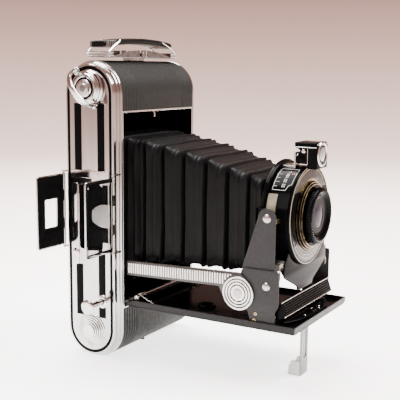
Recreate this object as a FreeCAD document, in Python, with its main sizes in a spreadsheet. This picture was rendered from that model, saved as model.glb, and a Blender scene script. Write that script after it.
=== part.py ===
"""A self-erecting folding roll-film camera, standing open on its rounded end and its bed leg.

Row frame, millimetres: +Z up along the body's length, the lens looks along -Y, X = 0 is the middle of
the film's width, Y = 0 the middle of the body's thickness and Z = 0 the surface that it stands on.
"""
import FreeCAD, Part
import Sketcher
import os
import re
from FreeCAD import Vector, Rotation, Placement

doc = FreeCAD.newDocument("folding_camera")
sheet = doc.addObject("Spreadsheet::Sheet", "Sheet")

DIMENSIONS = dict(
    # body
    body_height=175.0, body_radius=19.05, leather=0.6, shell_half=38.4, inner_half=37.6,
    plate_out=40.0, plateau_left=44.5, plateau_right=41.0, wall=1.25, chamber_radius=16.9,
    chamber_inset=31.5, open_low=34.6, open_high=145.4, gate_front=14.4, gate_thick=0.8, gate_half=32.0,
    split_y=15.7, back_low=8.2, spool_radius=11.8, spool_core=5.2, roller_radius=1.9,
    # bed
    hinge_y=-17.5, hinge_z=35.0, knuckle=1.45, pin_radius=0.75, bed_rear=-19.4, bed_front=-127.0,
    bed_half=37.2, bed_low=33.0, floor_top=34.6, rim_top=37.0, rim_wall=0.8,
    bush_x=-17.5, bush_y=-63.0, bush_radius=5.4, thread_radius=3.175, bush_top=36.0,
    # linkage, in the side view
    wing_y=-109.4, wing_z=56.7, board_y=-108.5, board_z=93.2, strut_y=-93.0, strut_z=51.1,
    wing_in=33.9, wing_thick=0.8, bracket_in=35.0, bracket_thick=0.75, strut_in=36.1, strut_thick=0.9,
    rivet_radius=2.4, disc_radius=9.5, lug_thick=0.7,
    # lens and shutter, on an axis along Y
    lens_z=91.1, board_rear=-101.4, board_thick=1.6, board_radius=30.2, housing_radius=27.4,
    housing_front=-117.0, face_radius=27.8, face_front=-118.3, barrel_radius=19.0, barrel_front=-121.0,
    ring_radius=15.8, ring_front=-125.4, glass_radius=10.5,
    # reflex finder
    finder_half=7.6, finder_low=117.3, finder_top=131.7, finder_rear=-112.6, finder_front=-124.6,
    finder_over=-111.2,
    finder_pivot_x=-5.6, finder_pivot_z=124.4, eye_z=125.2, eye_radius=6.6,
    # key, spools, side finder
    arc_top=155.95, wind_z=159.15, key_radius=10.4, key_out=-50.6, bail_radius=13.0, bail_wire=0.95,
    frame_low=67.2, frame_top=109.6, frame_thick=1.0,
    rear_hinge_x=-45.5, rear_hinge_y=18.5, front_hinge_x=-47.3, front_hinge_y=-18.5,
    # leg and handle
    leg_y=-118.6, leg_half=4.6, leg_x=-4.0, leg_thick=1.1, leg_pivot_z=31.2,
    handle_half=36.0, handle_wide=7.6, grip_top=188.4,
    # more sizes
    film_end=23.0, knuckle_room_radius=2.75, knuckle_half=31.0, back_hinge_y=14.6, back_hinge_z=8.0,
    back_knuckle=1.15, back_half=30.0, shaft_radius=2.2, roller_y=12.9, roller_low_z=32.6,
    roller_high_z=147.4, step_inset=1.1, field_inset=2.1, knob_y=-8.0, knob_z=35.5, knob_out=59.3,
    spool_half=35.0, bail_x=-47.6, spring_half=34.0, housing_bend=60.25, housing_back=-116.6,
    bar_half=33.2, bar_y=-113.6, bar_z=40.6, lug_out=33.6, pressure_y=15.6, window_z=60.0, slot_radius=20.6,
)
for row, (alias, number) in enumerate(DIMENSIONS.items(), start=1):
    sheet.set(f"A{row}", alias.replace("_", " "))
    sheet.set(f"B{row}", str(number))
    sheet.setAlias(f"B{row}", alias)
doc.recompute()

WORDS = re.compile(r"\b(" + "|".join(sorted(DIMENSIONS, key=len, reverse=True)) + r")\b")
AXES = {"+X": Vector(1, 0, 0), "-X": Vector(-1, 0, 0), "+Y": Vector(0, 1, 0), "-Y": Vector(0, -1, 0),
        "+Z": Vector(0, 0, 1), "-Z": Vector(0, 0, -1)}
NODES = []


# ---------------------------------------------------------------- helpers
def ex(size):
    """A size as a spreadsheet expression: each dimension's name gets its sheet in front."""
    return WORDS.sub(r"Sheet.\1", str(size))


def place(item, spot):
    for axis, size in zip("xyz", spot):
        item.setExpression(f".Placement.Base.{axis}", ex(size))


def block(name, low, high):
    """A box between two corners."""
    item = doc.addObject("Part::Box", name)
    for prop, start, end in zip(("Length", "Width", "Height"), low, high):
        item.setExpression(prop, ex(f"({end}) - ({start})"))
    place(item, low)
    return item


def rod(name, start, axis, radius, length):
    """A cylinder from a point along an axis."""
    item = doc.addObject("Part::Cylinder", name)
    item.Placement = Placement(Vector(), Rotation(Vector(0, 0, 1), AXES[axis]))
    item.setExpression("Radius", ex(radius))
    item.setExpression("Height", ex(length))
    place(item, start)
    return item


def cone(name, start, axis, radius, end_radius, length):
    item = doc.addObject("Part::Cone", name)
    item.Placement = Placement(Vector(), Rotation(Vector(0, 0, 1), AXES[axis]))
    item.setExpression("Radius1", ex(radius))
    item.setExpression("Radius2", ex(end_radius))
    item.setExpression("Height", ex(length))
    place(item, start)
    return item


def ball(name, centre, radius):
    item = doc.addObject("Part::Sphere", name)
    item.setExpression("Radius", ex(radius))
    place(item, centre)
    return item


def ring(name, start, axis, outer, inner, length):
    return cut(name, rod(name + "_outside", start, axis, outer, length),
               [rod(name + "_inside", start, axis, inner, length)])


def fuse(name, pieces):
    item = doc.addObject("Part::MultiFuse", name)
    item.Shapes = pieces
    item.Refine = True
    return item


def group(name, pieces):
    """Separate solids of one kind in one node."""
    item = doc.addObject("Part::Compound", name)
    item.Links = pieces
    return item


def cut(name, base, tools):
    item = doc.addObject("Part::Cut", name)
    item.Base = base
    item.Tool = tools[0] if len(tools) == 1 else fuse(name + "_tools", tools)
    return item


def common(name, first, second):
    item = doc.addObject("Part::Common", name)
    item.Base, item.Tool = first, second
    return item


def mirrored(name, source):
    """The same piece on the other side of X = 0."""
    item = doc.addObject("Part::Mirroring", name)
    item.Source = source
    item.Normal = Vector(1, 0, 0)
    return item


def origin_plane(body, role):
    return next(f for f in body.Origin.OriginFeatures if f.Role == role)


def drawn(body, name, role, outline, circles=(), offset="0"):
    """A sketch on one of the body's own planes: a closed outline of straight runs, and circles."""
    sketch = body.newObject("Sketcher::SketchObject", name)
    sketch.AttachmentSupport = (origin_plane(body, role), [""])
    sketch.MapMode = "FlatFace"
    sketch.setExpression(".AttachmentOffset.Base.z", ex(offset))
    count = len(outline)
    number = [[doc_value(u), doc_value(v)] for u, v in outline]
    for i in range(count):
        here, there = number[i], number[(i + 1) % count]
        sketch.addGeometry(Part.LineSegment(Vector(*here, 0), Vector(*there, 0)), False)
    for i in range(count):
        sketch.addConstraint(Sketcher.Constraint("Coincident", i, 2, (i + 1) % count, 1))
    for i, corner in enumerate(outline):
        for kind, size, at in zip(("DistanceX", "DistanceY"), corner, number[i]):
            index = sketch.addConstraint(Sketcher.Constraint(kind, -1, 1, i, 1, at))
            sketch.setExpression(f"Constraints[{index}]", ex(size))
    for u, v, radius in circles:
        at = Vector(doc_value(u), doc_value(v), 0)
        edge = sketch.addGeometry(Part.Circle(at, Vector(0, 0, 1), doc_value(radius)), False)
        for kind, size, now in (("DistanceX", u, at.x), ("DistanceY", v, at.y)):
            index = sketch.addConstraint(Sketcher.Constraint(kind, -1, 1, edge, 3, now))
            sketch.setExpression(f"Constraints[{index}]", ex(size))
        index = sketch.addConstraint(Sketcher.Constraint("Radius", edge, doc_value(radius)))
        sketch.setExpression(f"Constraints[{index}]", ex(radius))
    return sketch


def doc_value(size):
    """The number that a size expression stands for now."""
    return float(sheet.evalExpression(ex(size)))


def plate(name, role, outline, start, thick, circles=()):
    """A flat plate: an outline with round holes, padded along its plane's normal from start."""
    body = doc.addObject("PartDesign::Body", name)
    sketch = drawn(body, name + "_outline", role, outline, circles, start)
    pad = body.newObject("PartDesign::Pad", name + "_pad")
    pad.Profile = sketch
    pad.setExpression("Length", ex(thick))
    body.Tip = pad
    return body


def turned(name, spot, axis, profile):
    """A turned piece: a closed profile of (radius, distance along the axis) corners, revolved."""
    body = doc.addObject("PartDesign::Body", name)
    sketch = drawn(body, name + "_profile", "XZ_Plane", profile)
    spin = body.newObject("PartDesign::Revolution", name + "_turn")
    spin.Profile = sketch
    spin.ReferenceAxis = (sketch, ["V_Axis"])
    spin.Angle = 360
    body.Tip = spin
    body.Placement = Placement(Vector(), Rotation(Vector(0, 0, 1), AXES[axis]))
    place(body, spot)
    return body


def rounded(name, source, radius, choose):
    """A fillet along the edges that choose() picks."""
    doc.recompute()
    item = doc.addObject("Part::Fillet", name)
    item.Base = source
    size = doc_value(radius)
    item.Edges = [(i, size, size) for i, edge in enumerate(source.Shape.Edges, start=1) if choose(edge)]
    return item


def node(item, label=None):
    """Marks an object as a finished sub-part, under the name of its file."""
    item.Label = label or item.Name
    NODES.append(item)
    return item


def stadium(name, low_x, high_x, inset="0", low="0", high="body_height"):
    """The body's round-ended outline in the side view, between two planes across X."""
    radius = f"body_radius - ({inset})"
    long = f"({high_x}) - ({low_x})"
    ends = [rod(name + f"_end_{i}", (low_x, "0", z), "+X", radius, long)
            for i, z in enumerate((f"{low} + body_radius", f"{high} - body_radius"))]
    middle = block(name + "_middle", (low_x, f"-({radius})", f"{low} + body_radius"),
                   (high_x, radius, f"{high} - body_radius"))
    return fuse(name, [middle] + ends)


def lengthwise(edge, axis):
    """True for a straight edge along the given axis."""
    if edge.Curve.TypeId != "Part::GeomLine":
        return False
    return abs(abs(edge.Curve.Direction.dot(AXES[axis])) - 1) < 1e-6


# ---------------------------------------------------------------- body
def make_casing():
    """The formed shell: two film chambers and the recess that the lens folds into, open at the back."""
    outside = stadium("casing_outside", "-shell_half", "shell_half", "leather")
    tools = []
    for side, z, low, high in (("low", "body_radius", "0", "chamber_inset"),
                               ("high", "arc_top", "body_height - chamber_inset", "body_height")):
        tube = rod(f"chamber_tube_{side}", ("-inner_half", "0", z), "+X", "chamber_radius",
                   "2 * inner_half")
        limit = block(f"chamber_limit_{side}", ("-inner_half", "-body_radius", low),
                      ("inner_half", "body_radius", high))
        tools.append(common(f"chamber_{side}", tube, limit))
    tools.append(block("recess", ("-inner_half", "-body_radius - 1", "open_low"),
                       ("inner_half", "gate_front", "open_high")))
    tools.append(block("film_path", ("-inner_half", "gate_front - 4.6", "film_end"),
                       ("inner_half", "body_radius", "body_height - film_end")))
    tools.append(block("back_room", ("-shell_half - 1", "split_y", "back_low"),
                       ("shell_half + 1", "body_radius + 1", "body_height - back_low")))
    tools.append(rod("knuckle_room", ("-inner_half", "hinge_y", "hinge_z"), "+X", "knuckle_room_radius",
                     "2 * inner_half"))
    tools.append(rod("pin_room", ("-shell_half", "hinge_y", "hinge_z"), "+X", "pin_radius",
                     "2 * shell_half"))
    tools.append(rod("back_knuckle_room", ("-shell_half", "back_hinge_y", "back_hinge_z"), "+X",
                     "back_knuckle + 0.85", "2 * shell_half"))
    tools.append(block("web_room", ("-back_half - 0.4", "back_hinge_y + 0.3", "back_hinge_z"),
                       ("back_half + 0.4", "body_radius + 1", "back_hinge_z + 3.6")))
    tools.append(rod("key_bore", ("-shell_half - 1", "0", "wind_z"), "+X", "shaft_radius + 0.1", "3"))
    for i, z in enumerate(("roller_low_z", "roller_high_z")):
        tools.append(rod(f"roller_bore_{i}", ("-shell_half", "roller_y", z), "+X", "0.95",
                         "2 * shell_half"))
    tools.append(block("catch_slot", ("-3.4", "-15.4", "open_high - 0.5"),
                       ("3.4", "-13.4", "open_high + 1.6")))
    node(cut("main_casing", outside, tools))


def make_casing_leather():
    """The thin covering round the front of the shell, above and below the opening."""
    skin = cut("skin", stadium("skin_outside", "-shell_half", "shell_half"),
               [stadium("skin_inside", "-shell_half", "shell_half", "leather")])
    front = block("skin_opening", ("-shell_half - 1", "-body_radius - 1", "open_low - 3"),
                  ("shell_half + 1", "-5", "open_high + 1.2"))
    back = block("skin_back", ("-shell_half - 1", "split_y - 0.3", "back_low - 1.2"),
                 ("shell_half + 1", "body_radius + 1", "body_height - back_low + 1.2"))
    hinge = rod("skin_hinge", ("-shell_half - 1", "back_hinge_y", "back_hinge_z"), "+X",
                "back_knuckle + 1.1", "2 * shell_half + 2")
    node(cut("casing_leather", skin, [front, back, hinge]))


def make_side_plates():
    """Pressed side plates: a flat flange, a step and a raised round-ended field."""
    fields = fuse("left_pressing", [
        stadium("left_flange", "-plate_out", "-shell_half - 0.1"),
        stadium("left_step", "-plate_out - 1.6", "-plate_out", "step_inset"),
        stadium("left_field", "-plateau_left", "-plate_out - 1.6", "field_inset"),
        rod("knob_collar", ("-plateau_left - 0.8", "knob_y", "knob_z"), "+X", "3", "2")])
    holes = [rod("left_key_hole", ("-plateau_left - 1", "0", "wind_z"), "+X", "shaft_radius + 0.1", "8"),
             rod("left_knob_hole", ("-plateau_left - 1", "knob_y", "knob_z"), "+X", "1.57", "8"),
             block("left_recess", ("-plateau_left - 1", "-8", "65.7"), ("-shell_half - 0.8", "8", "104"))]
    node(cut("side_plate_left", fields, holes))
    node(fuse("side_plate_right", [stadium("right_flange", "shell_half + 0.1", "plate_out"),
                                   stadium("right_field", "plate_out", "plateau_right", "field_inset")]))


def make_inside():
    """Film gate, rollers, spool and its pins, and the hinge pins."""
    gate = block("gate_blank", ("-inner_half", "gate_front", "open_low + 1.5"),
                 ("inner_half", "gate_front + gate_thick", "open_high - 0.4"))
    window = block("gate_window", ("-gate_half", "gate_front - 1", "open_low + 3.8"),
                   ("gate_half", "gate_front + 2", "open_high - 2.6"))
    node(cut("film_gate", gate, [window]))
    for side, z in (("lower", "roller_low_z"), ("upper", "roller_high_z")):
        node(fuse(f"roller_{side}", [
            rod(f"roller_{side}_tube", ("-inner_half + 0.5", "roller_y", z), "+X", "roller_radius",
                "2 * inner_half - 1"),
            rod(f"roller_{side}_axle", ("-shell_half + 0.2", "roller_y", z), "+X", "0.88",
                "2 * shell_half - 0.4")]))
    pins = [rod("pin_take_up", ("spool_half - 1.8", "0", "wind_z"), "+X", "1.9",
                "inner_half - spool_half + 1.8"),
            rod("pin_supply_right", ("spool_half - 1.8", "0", "body_radius"), "+X", "1.9",
                "inner_half - spool_half + 1.8"),
            rod("pin_supply_left", ("-inner_half", "0", "body_radius"), "+X", "1.9",
                "inner_half - spool_half + 1.8")]
    node(group("spool_pins", pins))
    core = fuse("spool_blank", [
        rod("spool_core_rod", ("-spool_half", "0", "wind_z"), "+X", "spool_core", "2 * spool_half"),
        rod("spool_flange_left", ("-spool_half", "0", "wind_z"), "+X", "spool_radius", "1.1"),
        rod("spool_flange_right", ("spool_half - 1.1", "0", "wind_z"), "+X", "spool_radius", "1.1")])
    node(cut("take_up_spool", core, [
        rod("spool_bore", ("spool_half - 2.4", "0", "wind_z"), "+X", "1.98", "4"),
        block("spool_slot", ("-spool_half - 1", "-1.0", "wind_z - 2.5"),
              ("-spool_half + 2.6", "1.0", "wind_z + 2.5")),
        block("film_slot", ("-18", "-6", "wind_z - 0.7"), ("18", "6", "wind_z + 0.7"))]))
    node(group("hinge_pins", [
        rod("bed_pin", ("-shell_half", "hinge_y", "hinge_z"), "+X", "pin_radius", "2 * shell_half"),
        rod("back_pin", ("-shell_half", "back_hinge_y", "back_hinge_z"), "+X", "pin_radius",
            "2 * shell_half")]))


def make_bellows():
    """The bellows' outer shape, a hollow tapering sleeve from the film gate to the lens board."""
    rear = ("-32.5", "32.5", "52", "132.5")
    front = ("-24", "24", "66", "112")
    shapes = []
    for grow in (0.0, -1.6):
        wires = []
        for y, (x0, x1, z0, z1) in (("gate_front - 0.3", rear), ("board_rear + 0.4", front)):
            x0, x1, z0, z1, y = (doc_value(t) for t in (x0, x1, z0, z1, y))
            corners = [Vector(x0 - grow, y, z0 - grow), Vector(x1 + grow, y, z0 - grow),
                       Vector(x1 + grow, y, z1 + grow), Vector(x0 - grow, y, z1 + grow)]
            wires.append(Part.makePolygon(corners + corners[:1]))
        shapes.append(Part.makeLoft(wires, True, True))
    item = doc.addObject("Part::Feature", "bellows")
    item.Shape = shapes[0].cut(shapes[1])
    node(item)


def make_handle():
    base = block("base_strip", ("-handle_half", "-handle_wide", "176.4"), ("handle_half", "handle_wide", "177.2"))
    pad = block("base_pad", ("-7", "-3", "body_height"), ("7", "3", "176.4"))
    arch = [("-30", "176.6"), ("30", "176.6"), ("13", "180.2"), ("4", "180.8"), ("3", "178"), ("-3", "178"),
            ("-4", "181"), ("-10", "180.6")]
    front = plate("base_arch_front", "XZ_Plane", arch, "handle_wide - 0.7", "0.7")
    rear = plate("base_arch_rear", "XZ_Plane", arch, "-handle_wide", "0.7")
    node(fuse("handle_base", [base, pad, front, rear]))
    pieces = []
    for side in (-1, 1):
        tag = "left" if side < 0 else "right"
        clip_low = "-handle_half" if side < 0 else "handle_half - 5"
        pieces.append(block(f"clip_{tag}", (clip_low, "-handle_wide", "177.2"),
                            (f"{clip_low} + 5", "handle_wide", "180.0")))
        for end, y in (("front", "-handle_wide - 0.1"), ("rear", "handle_wide + 0.1")):
            wire = doc.addObject("Part::Cylinder", f"wire_{tag}_{end}")
            wire.Placement = Placement(Vector(), Rotation(Vector(0, 1, 0), -side * 56))
            wire.Radius = 0.65
            wire.Height = 14
            place(wire, (f"{side} * (handle_half - 2)", y, "179.6"))
            pieces.append(wire)
    node(group("handle_clips", pieces))
    grip = [("-35.5", "182.2"), ("-26", "183"), ("-12", "184.6"), ("4", "185.2"), ("20", "184.4"),
            ("34", "182.4"), ("35.5", "184.6"), ("22", "187.4"), ("6", "grip_top"), ("-10", "187.8"),
            ("-26", "186.2"), ("-35.5", "185.0")]
    node(plate("handle_grip", "XZ_Plane", grip, "-6.4", "12.8"))


def make_side_finder():
    """The folding optical finder: base, hinge lugs and pins, front frame with its lens, rear sight."""
    low, high = "frame_low - 2.2", "frame_top + 0.8"
    pieces = [block("finder_plate", ("-plate_out", "-7.7", "66"), ("-plate_out + 0.8", "7.7", "103.7")),
              block("finder_spring", ("-plate_out - 1.4", "-7.2", "79"), ("-plate_out", "6.6", "92"))]
    for tag, x, y, y0, y1 in (("rear", "rear_hinge_x", "rear_hinge_y", "rear_hinge_y - 0.5", "body_radius"),
                              ("front", "front_hinge_x", "front_hinge_y", "-body_radius",
                               "front_hinge_y + 0.5")):
        lugs = [block(f"{tag}_lug_{i}", (f"{x} - 1.2", y0, z), ("-plate_out", y1, f"{z} + 1.2"))
                for i, z in enumerate((low, high))]
        pin = rod(f"{tag}_pin", (x, y, low), "+Z", "0.5", f"{high} + 1.2 - ({low})")
        pieces.append(fuse(f"{tag}_hinge", lugs + [pin]))
    node(group("finder_base", pieces))
    for tag, x, y, out, hole in (
            ("front", "front_hinge_x", "front_hinge_y", "-73", ("-70.4", "-50.6", "70.4", "106.4")),
            ("rear", "rear_hinge_x", "rear_hinge_y", "-69.5", ("-62.7", "-52.5", "79", "95.5"))):
        leaf = block(f"{tag}_leaf", (out, f"{y} - 0.5", "frame_low"), (x, f"{y} + 0.5", "frame_top"))
        knuckle = rod(f"{tag}_knuckle", (x, y, "frame_low"), "+Z", "1.1", "frame_top - frame_low")
        bore = rod(f"{tag}_bore", (x, y, "frame_low - 1"), "+Z", "0.57", "frame_top - frame_low + 2")
        x0, x1, z0, z1 = hole
        window = block(f"{tag}_window", (x0, f"{y} - 2", z0), (x1, f"{y} + 2", z1))
        node(cut(f"finder_{tag}_frame", fuse(f"{tag}_frame_blank", [leaf, knuckle]), [bore, window]))
    node(block("finder_front_lens", ("-70.3", "front_hinge_y - 0.4", "70.5"),
               ("-50.7", "front_hinge_y + 0.4", "106.3")))


def make_key():
    """The winding key: a stepped dome on a shaft that drives the spool, with a folding bail."""
    face = "-plateau_left - 0.3"
    dome = turned("key_dome", (face, "0", "wind_z"), "-X", [
        ("0", "-9"), ("shaft_radius", "-9"), ("shaft_radius", "0"), ("key_radius", "0"),
        ("key_radius", "1.4"), ("9.9", "1.9"), ("9.5", "3.4"), ("8.3", "4.2"), ("6.2", "4.5"),
        ("6.0", "3.3"), ("5.5", "3.3"), ("5.2", "5.0"), ("2.5", "5.3"), ("2.2", "5.9"), ("0", "5.9")])
    blade = block("key_blade", (f"{face} + 8.9", "-0.6", "wind_z - 2"),
                  (f"{face} + 11.3", "0.6", "wind_z + 2"))
    lean = Rotation(Vector(1, 0, 0), -BAIL_LEAN)
    peg = doc.addObject("Part::Cylinder", "key_pegs")
    peg.setExpression("Radius", "0.7")
    peg.setExpression("Height", ex("2 * bail_radius + 1"))
    reach = lean.multVec(Vector(0, 0, 1)) * (doc_value("bail_radius") + 0.5)
    peg.Placement = Placement(Vector(doc_value("bail_x"), -reach.y, doc_value("wind_z") - reach.z), lean)
    node(fuse("winding_key", [dome, blade, peg]))
    loop = doc.addObject("Part::Torus", "bail_loop")
    loop.setExpression("Radius1", ex("bail_radius - 0.9"))
    loop.setExpression("Radius2", ex("bail_wire"))
    loop.Angle3 = 180
    loop.Placement = Placement(Vector(doc_value("bail_x"), 0, doc_value("wind_z")), BAIL_TURN)
    eyes = []
    for side in (-1, 1):
        spot = lean.multVec(Vector(0, 0, side)) * (doc_value("bail_radius") - 0.9)
        eye = ball(f"bail_eye_{side}", ("0", "0", "0"), "1.7")
        eye.setExpression(".Placement.Base.x", None)
        eye.setExpression(".Placement.Base.y", None)
        eye.setExpression(".Placement.Base.z", None)
        eye.Placement = Placement(Vector(doc_value("bail_x"), spot.y, doc_value("wind_z") + spot.z), Rotation())
        eyes.append(eye)
    bore = doc.addObject("Part::Cylinder", "bail_bore")
    bore.Radius = 0.78
    bore.Height = 2 * doc_value("bail_radius") + 8
    bore.Placement = Placement(Vector(doc_value("bail_x"), 0, doc_value("wind_z"))
                               - lean.multVec(Vector(0, 0, 1)) * (doc_value("bail_radius") + 4), lean)
    node(cut("key_bail", fuse("bail_blank", [loop] + eyes), [bore]))


BAIL_LEAN = 33.0
lean_axis = Rotation(Vector(1, 0, 0), -BAIL_LEAN)
# The torus lies in its own XY plane; its half from +X round to -X first goes to the rear and below,
# and is then stood straight out from the side plate about the line of its pegs.
BAIL_FLAT = lean_axis.multiply(Rotation(Vector(0, 0, -1), Vector(0, 1, 0), Vector(1, 0, 0), "ZXY"))
BAIL_TURN = Rotation(lean_axis.multVec(Vector(0, 0, 1)), 90).multiply(BAIL_FLAT)


def make_small_case_parts():
    """Screws, the bed catch and the plunger knob."""
    screws = [rod(f"wall_screw_{i}", (x, "-16", "open_high - 0.5"), "+Z", "1.6", "0.5")
              for i, x in enumerate(("-31", "31"))]
    screws += [rod(f"handle_screw_{i}", (x, "0", "177.2"), "+Z", "1.9", "0.7")
               for i, x in enumerate(("-12", "12"))]
    node(group("case_screws", screws))
    node(block("bed_catch", ("-3", "-15.1", "open_high - 1.5"), ("3", "-13.7", "open_high + 0.4")))
    node(turned("side_knob", ("-knob_out", "knob_y", "knob_z"), "+X", [
        ("0", "0"), ("2.6", "0"), ("4.3", "0.8"), ("4.3", "1.7"), ("1.5", "2.3"), ("1.5", "17.4"),
        ("0", "17.4")]))


# ---------------------------------------------------------------- bed
def make_bed():
    """The drop bed: a shallow tray with knuckles on the hinge pin, its covering and its fittings."""
    floor = block("bed_floor", ("-bed_half", "bed_front", "bed_low + leather"),
                  ("bed_half", "bed_rear", "floor_top"))
    rims = [block("rim_left", ("-bed_half", "bed_front", "floor_top - 0.1"),
                  ("-bed_half + rim_wall", "bed_rear", "rim_top")),
            block("rim_right", ("bed_half - rim_wall", "bed_front", "floor_top - 0.1"),
                  ("bed_half", "bed_rear", "rim_top")),
            block("rim_front", ("-bed_half", "bed_front", "floor_top - 0.1"),
                  ("bed_half", "bed_front + rim_wall", "rim_top"))]
    leaf = block("hinge_leaf", ("-knuckle_half", "bed_rear - 0.5", "bed_low + leather"),
                 ("knuckle_half", "hinge_y", "floor_top"))
    barrel = rod("bed_barrel", ("-knuckle_half", "hinge_y", "hinge_z"), "+X", "knuckle",
                 "2 * knuckle_half")
    bore = rod("bed_bore", ("-knuckle_half - 1", "hinge_y", "hinge_z"), "+X", "pin_radius + 0.08",
               "2 * knuckle_half + 2")
    bush_hole = rod("bed_bush_hole", ("bush_x", "bush_y", "bed_low - 1"), "+Z", "bush_radius", "5")
    node(cut("bed_panel", fuse("bed_blank", [floor, leaf, barrel] + rims), [bore, bush_hole]))
    cover = block("bed_leather_blank", ("-bed_half", "bed_front", "bed_low"),
                  ("bed_half", "bed_rear - 0.5", "bed_low + leather"))
    node(cut("bed_leather", cover, [rod("leather_bush_hole", ("bush_x", "bush_y", "bed_low - 1"), "+Z",
                                        "bush_radius", "3")]))
    node(ring("tripod_bush", ("bush_x", "bush_y", "bed_low"), "+Z", "bush_radius", "thread_radius",
              "bush_top - bed_low"))
    spring = [rod("spring_rod", ("-spring_half", "-25", "38.6"), "+X", "0.8", "2 * spring_half")]
    for i, x in enumerate(("-spring_half", "spring_half - 0.9")):
        spring.append(block(f"spring_post_{i}", (x, "-25.7", "floor_top"), (f"{x} + 0.9", "-24.3", "38.8")))
    spring += [ring(f"spring_coil_{i}", (x, "-25", "38.6"), "+X", "1.5", "0.8", "6")
               for i, x in enumerate(("-31", "25"))]
    node(fuse("bed_spring", spring))
    arc = rod("housing_arc", ("0", "housing_back - 8 + housing_bend", "floor_top"), "+Z", "housing_bend", "1.8")
    keep = block("housing_keep", ("-31", "housing_back - 9", "floor_top"), ("31", "housing_back", "40"))
    dome = common("housing_dome", ball("housing_ball", ("0", "housing_back - 3.6", "33"), "5"),
                  block("housing_dome_keep", ("-8", "housing_back - 9", "floor_top"),
                        ("8", "housing_back + 2", "40")))
    lugs = [block(f"leg_lug_{i}", (x, "leg_y - 1.5", "leg_pivot_z - 1.3"),
                  (f"{x} + 0.8", "leg_y + 1.5", "bed_low"))
            for i, x in enumerate(("leg_x - leg_half - 1.6", "leg_x + leg_half + 0.8"))]
    pin = rod("leg_pin", ("leg_x - leg_half - 1.6", "leg_y", "leg_pivot_z"), "+X", "0.6",
              "2 * leg_half + 3.2")
    node(group("leg_housing", [fuse("housing_top", [common("housing_plate", arc, keep), dome]),
                               fuse("leg_bracket", lugs + [pin])]))


def make_bracket():
    """The bracket that carries a wing and a strut, its foot on the bed, and the release bar's pin."""
    outline = [("strut_y - 2", "wing_z + 8.2"), ("strut_y - 3", "wing_z + 8.8"), ("wing_y - 6.8", "wing_z + 8.8"),
               ("wing_y - 7.2", "wing_z + 8"), ("wing_y - 7.2", "46"), ("wing_y - 5.4", "43"),
               ("wing_y - 5.4", "floor_top"), ("wing_y + 9", "floor_top"), ("wing_y + 10.5", "42.2")]
    sheet_metal = plate("bracket_plate", "YZ_Plane", outline, "bracket_in", "bracket_thick")
    lobe = rod("bracket_lobe", ("bracket_in", "strut_y", "strut_z"), "+X", "5", "bracket_thick")
    foot = block("bracket_foot", ("bracket_in - 3.6", "wing_y - 5.4", "floor_top"),
                 ("bracket_in + bracket_thick", "wing_y + 9", "floor_top + 0.8"))
    pin = rod("release_pin", ("bar_half - 1.1", "bar_y", "bar_z"), "+X", "1.2",
              "bracket_in - bar_half + 1.2")
    hole = rod("wing_rivet_hole", ("bracket_in - 1", "wing_y", "wing_z"), "+X", "1.4", "3")
    right = cut("bracket_right", fuse("bracket_blank", [sheet_metal, lobe, foot, pin]), [hole])
    node(right, "bed_bracket_right")
    node(mirrored("bracket_left", right), "bed_bracket_left")
    rivets = []
    for tag, y, z, start, shank, head_at, head in (
            ("wing", "wing_y", "wing_z", "wing_in - 0.5", "1.4", "bracket_in + bracket_thick", "2.25"),
            ("strut", "strut_y", "strut_z", "bracket_in + bracket_thick", "1.9",
             "strut_in + strut_thick + 0.05", "2.8")):
        length = f"{head_at} - ({start})"
        body = rod(f"{tag}_shank", (start, y, z), "+X", shank, length)
        cap = rod(f"{tag}_head", (head_at, y, z), "+X", head, "0.3")
        rivets.append(fuse(f"{tag}_rivet", [body, cap]))
    both = group("rivets_right", rivets)
    node(group("bracket_rivets", [both, mirrored("rivets_left", both)]))


def make_wing():
    """The crackle-painted plate that carries the lens board between its two rivets."""
    outline = [("board_y - 4.9", "board_z"), ("board_y - 4.9", "wing_z + 2"), ("wing_y - 3.6", "wing_z - 3"),
               ("wing_y + 2.6", "wing_z - 3.8"), ("wing_y + 13", "wing_z + 4"), ("wing_y + 15.1", "wing_z + 8.1"),
               ("board_y + 5", "board_z - 1.6")]
    blank = fuse("wing_blank", [
        plate("wing_plate", "YZ_Plane", outline, "wing_in", "wing_thick"),
        rod("wing_ear", ("wing_in", "board_y", "board_z"), "+X", "5.3", "wing_thick"),
        rod("wing_heel", ("wing_in", "wing_y", "wing_z"), "+X", "4.6", "wing_thick")])
    right = cut("wing_right_plate", blank, [
        rod("wing_hole_low", ("wing_in - 1", "wing_y", "wing_z"), "+X", "1.46", "3"),
        rod("wing_hole_top", ("wing_in - 1", "board_y", "board_z"), "+X", "1.46", "3")])
    node(right, "wing_right")
    node(mirrored("wing_left_plate", right), "wing_left")


def make_strut():
    """The chrome brace from the case to the bracket, with its round stamped boss."""
    outline = [("-20", "51.5"), ("-81", "53.5"), ("strut_y + 6", "strut_z - 4"), ("strut_y", "strut_z - 4"),
               ("strut_y - 5", "strut_z + 6"), ("strut_y - 1.3", "62.9"), ("-20", "60.3")]
    blank = fuse("strut_blank", [
        plate("strut_strip", "YZ_Plane", outline, "strut_in", "strut_thick"),
        rod("strut_disc", ("strut_in", "strut_y", "strut_z"), "+X", "disc_radius", "strut_thick")])
    right = cut("strut_right_plate", blank, [
        rod("strut_hole", ("strut_in - 1", "strut_y", "strut_z"), "+X", "1.96", "4")])
    node(right, "strut_right")
    node(mirrored("strut_left_plate", right), "strut_left")


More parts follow.
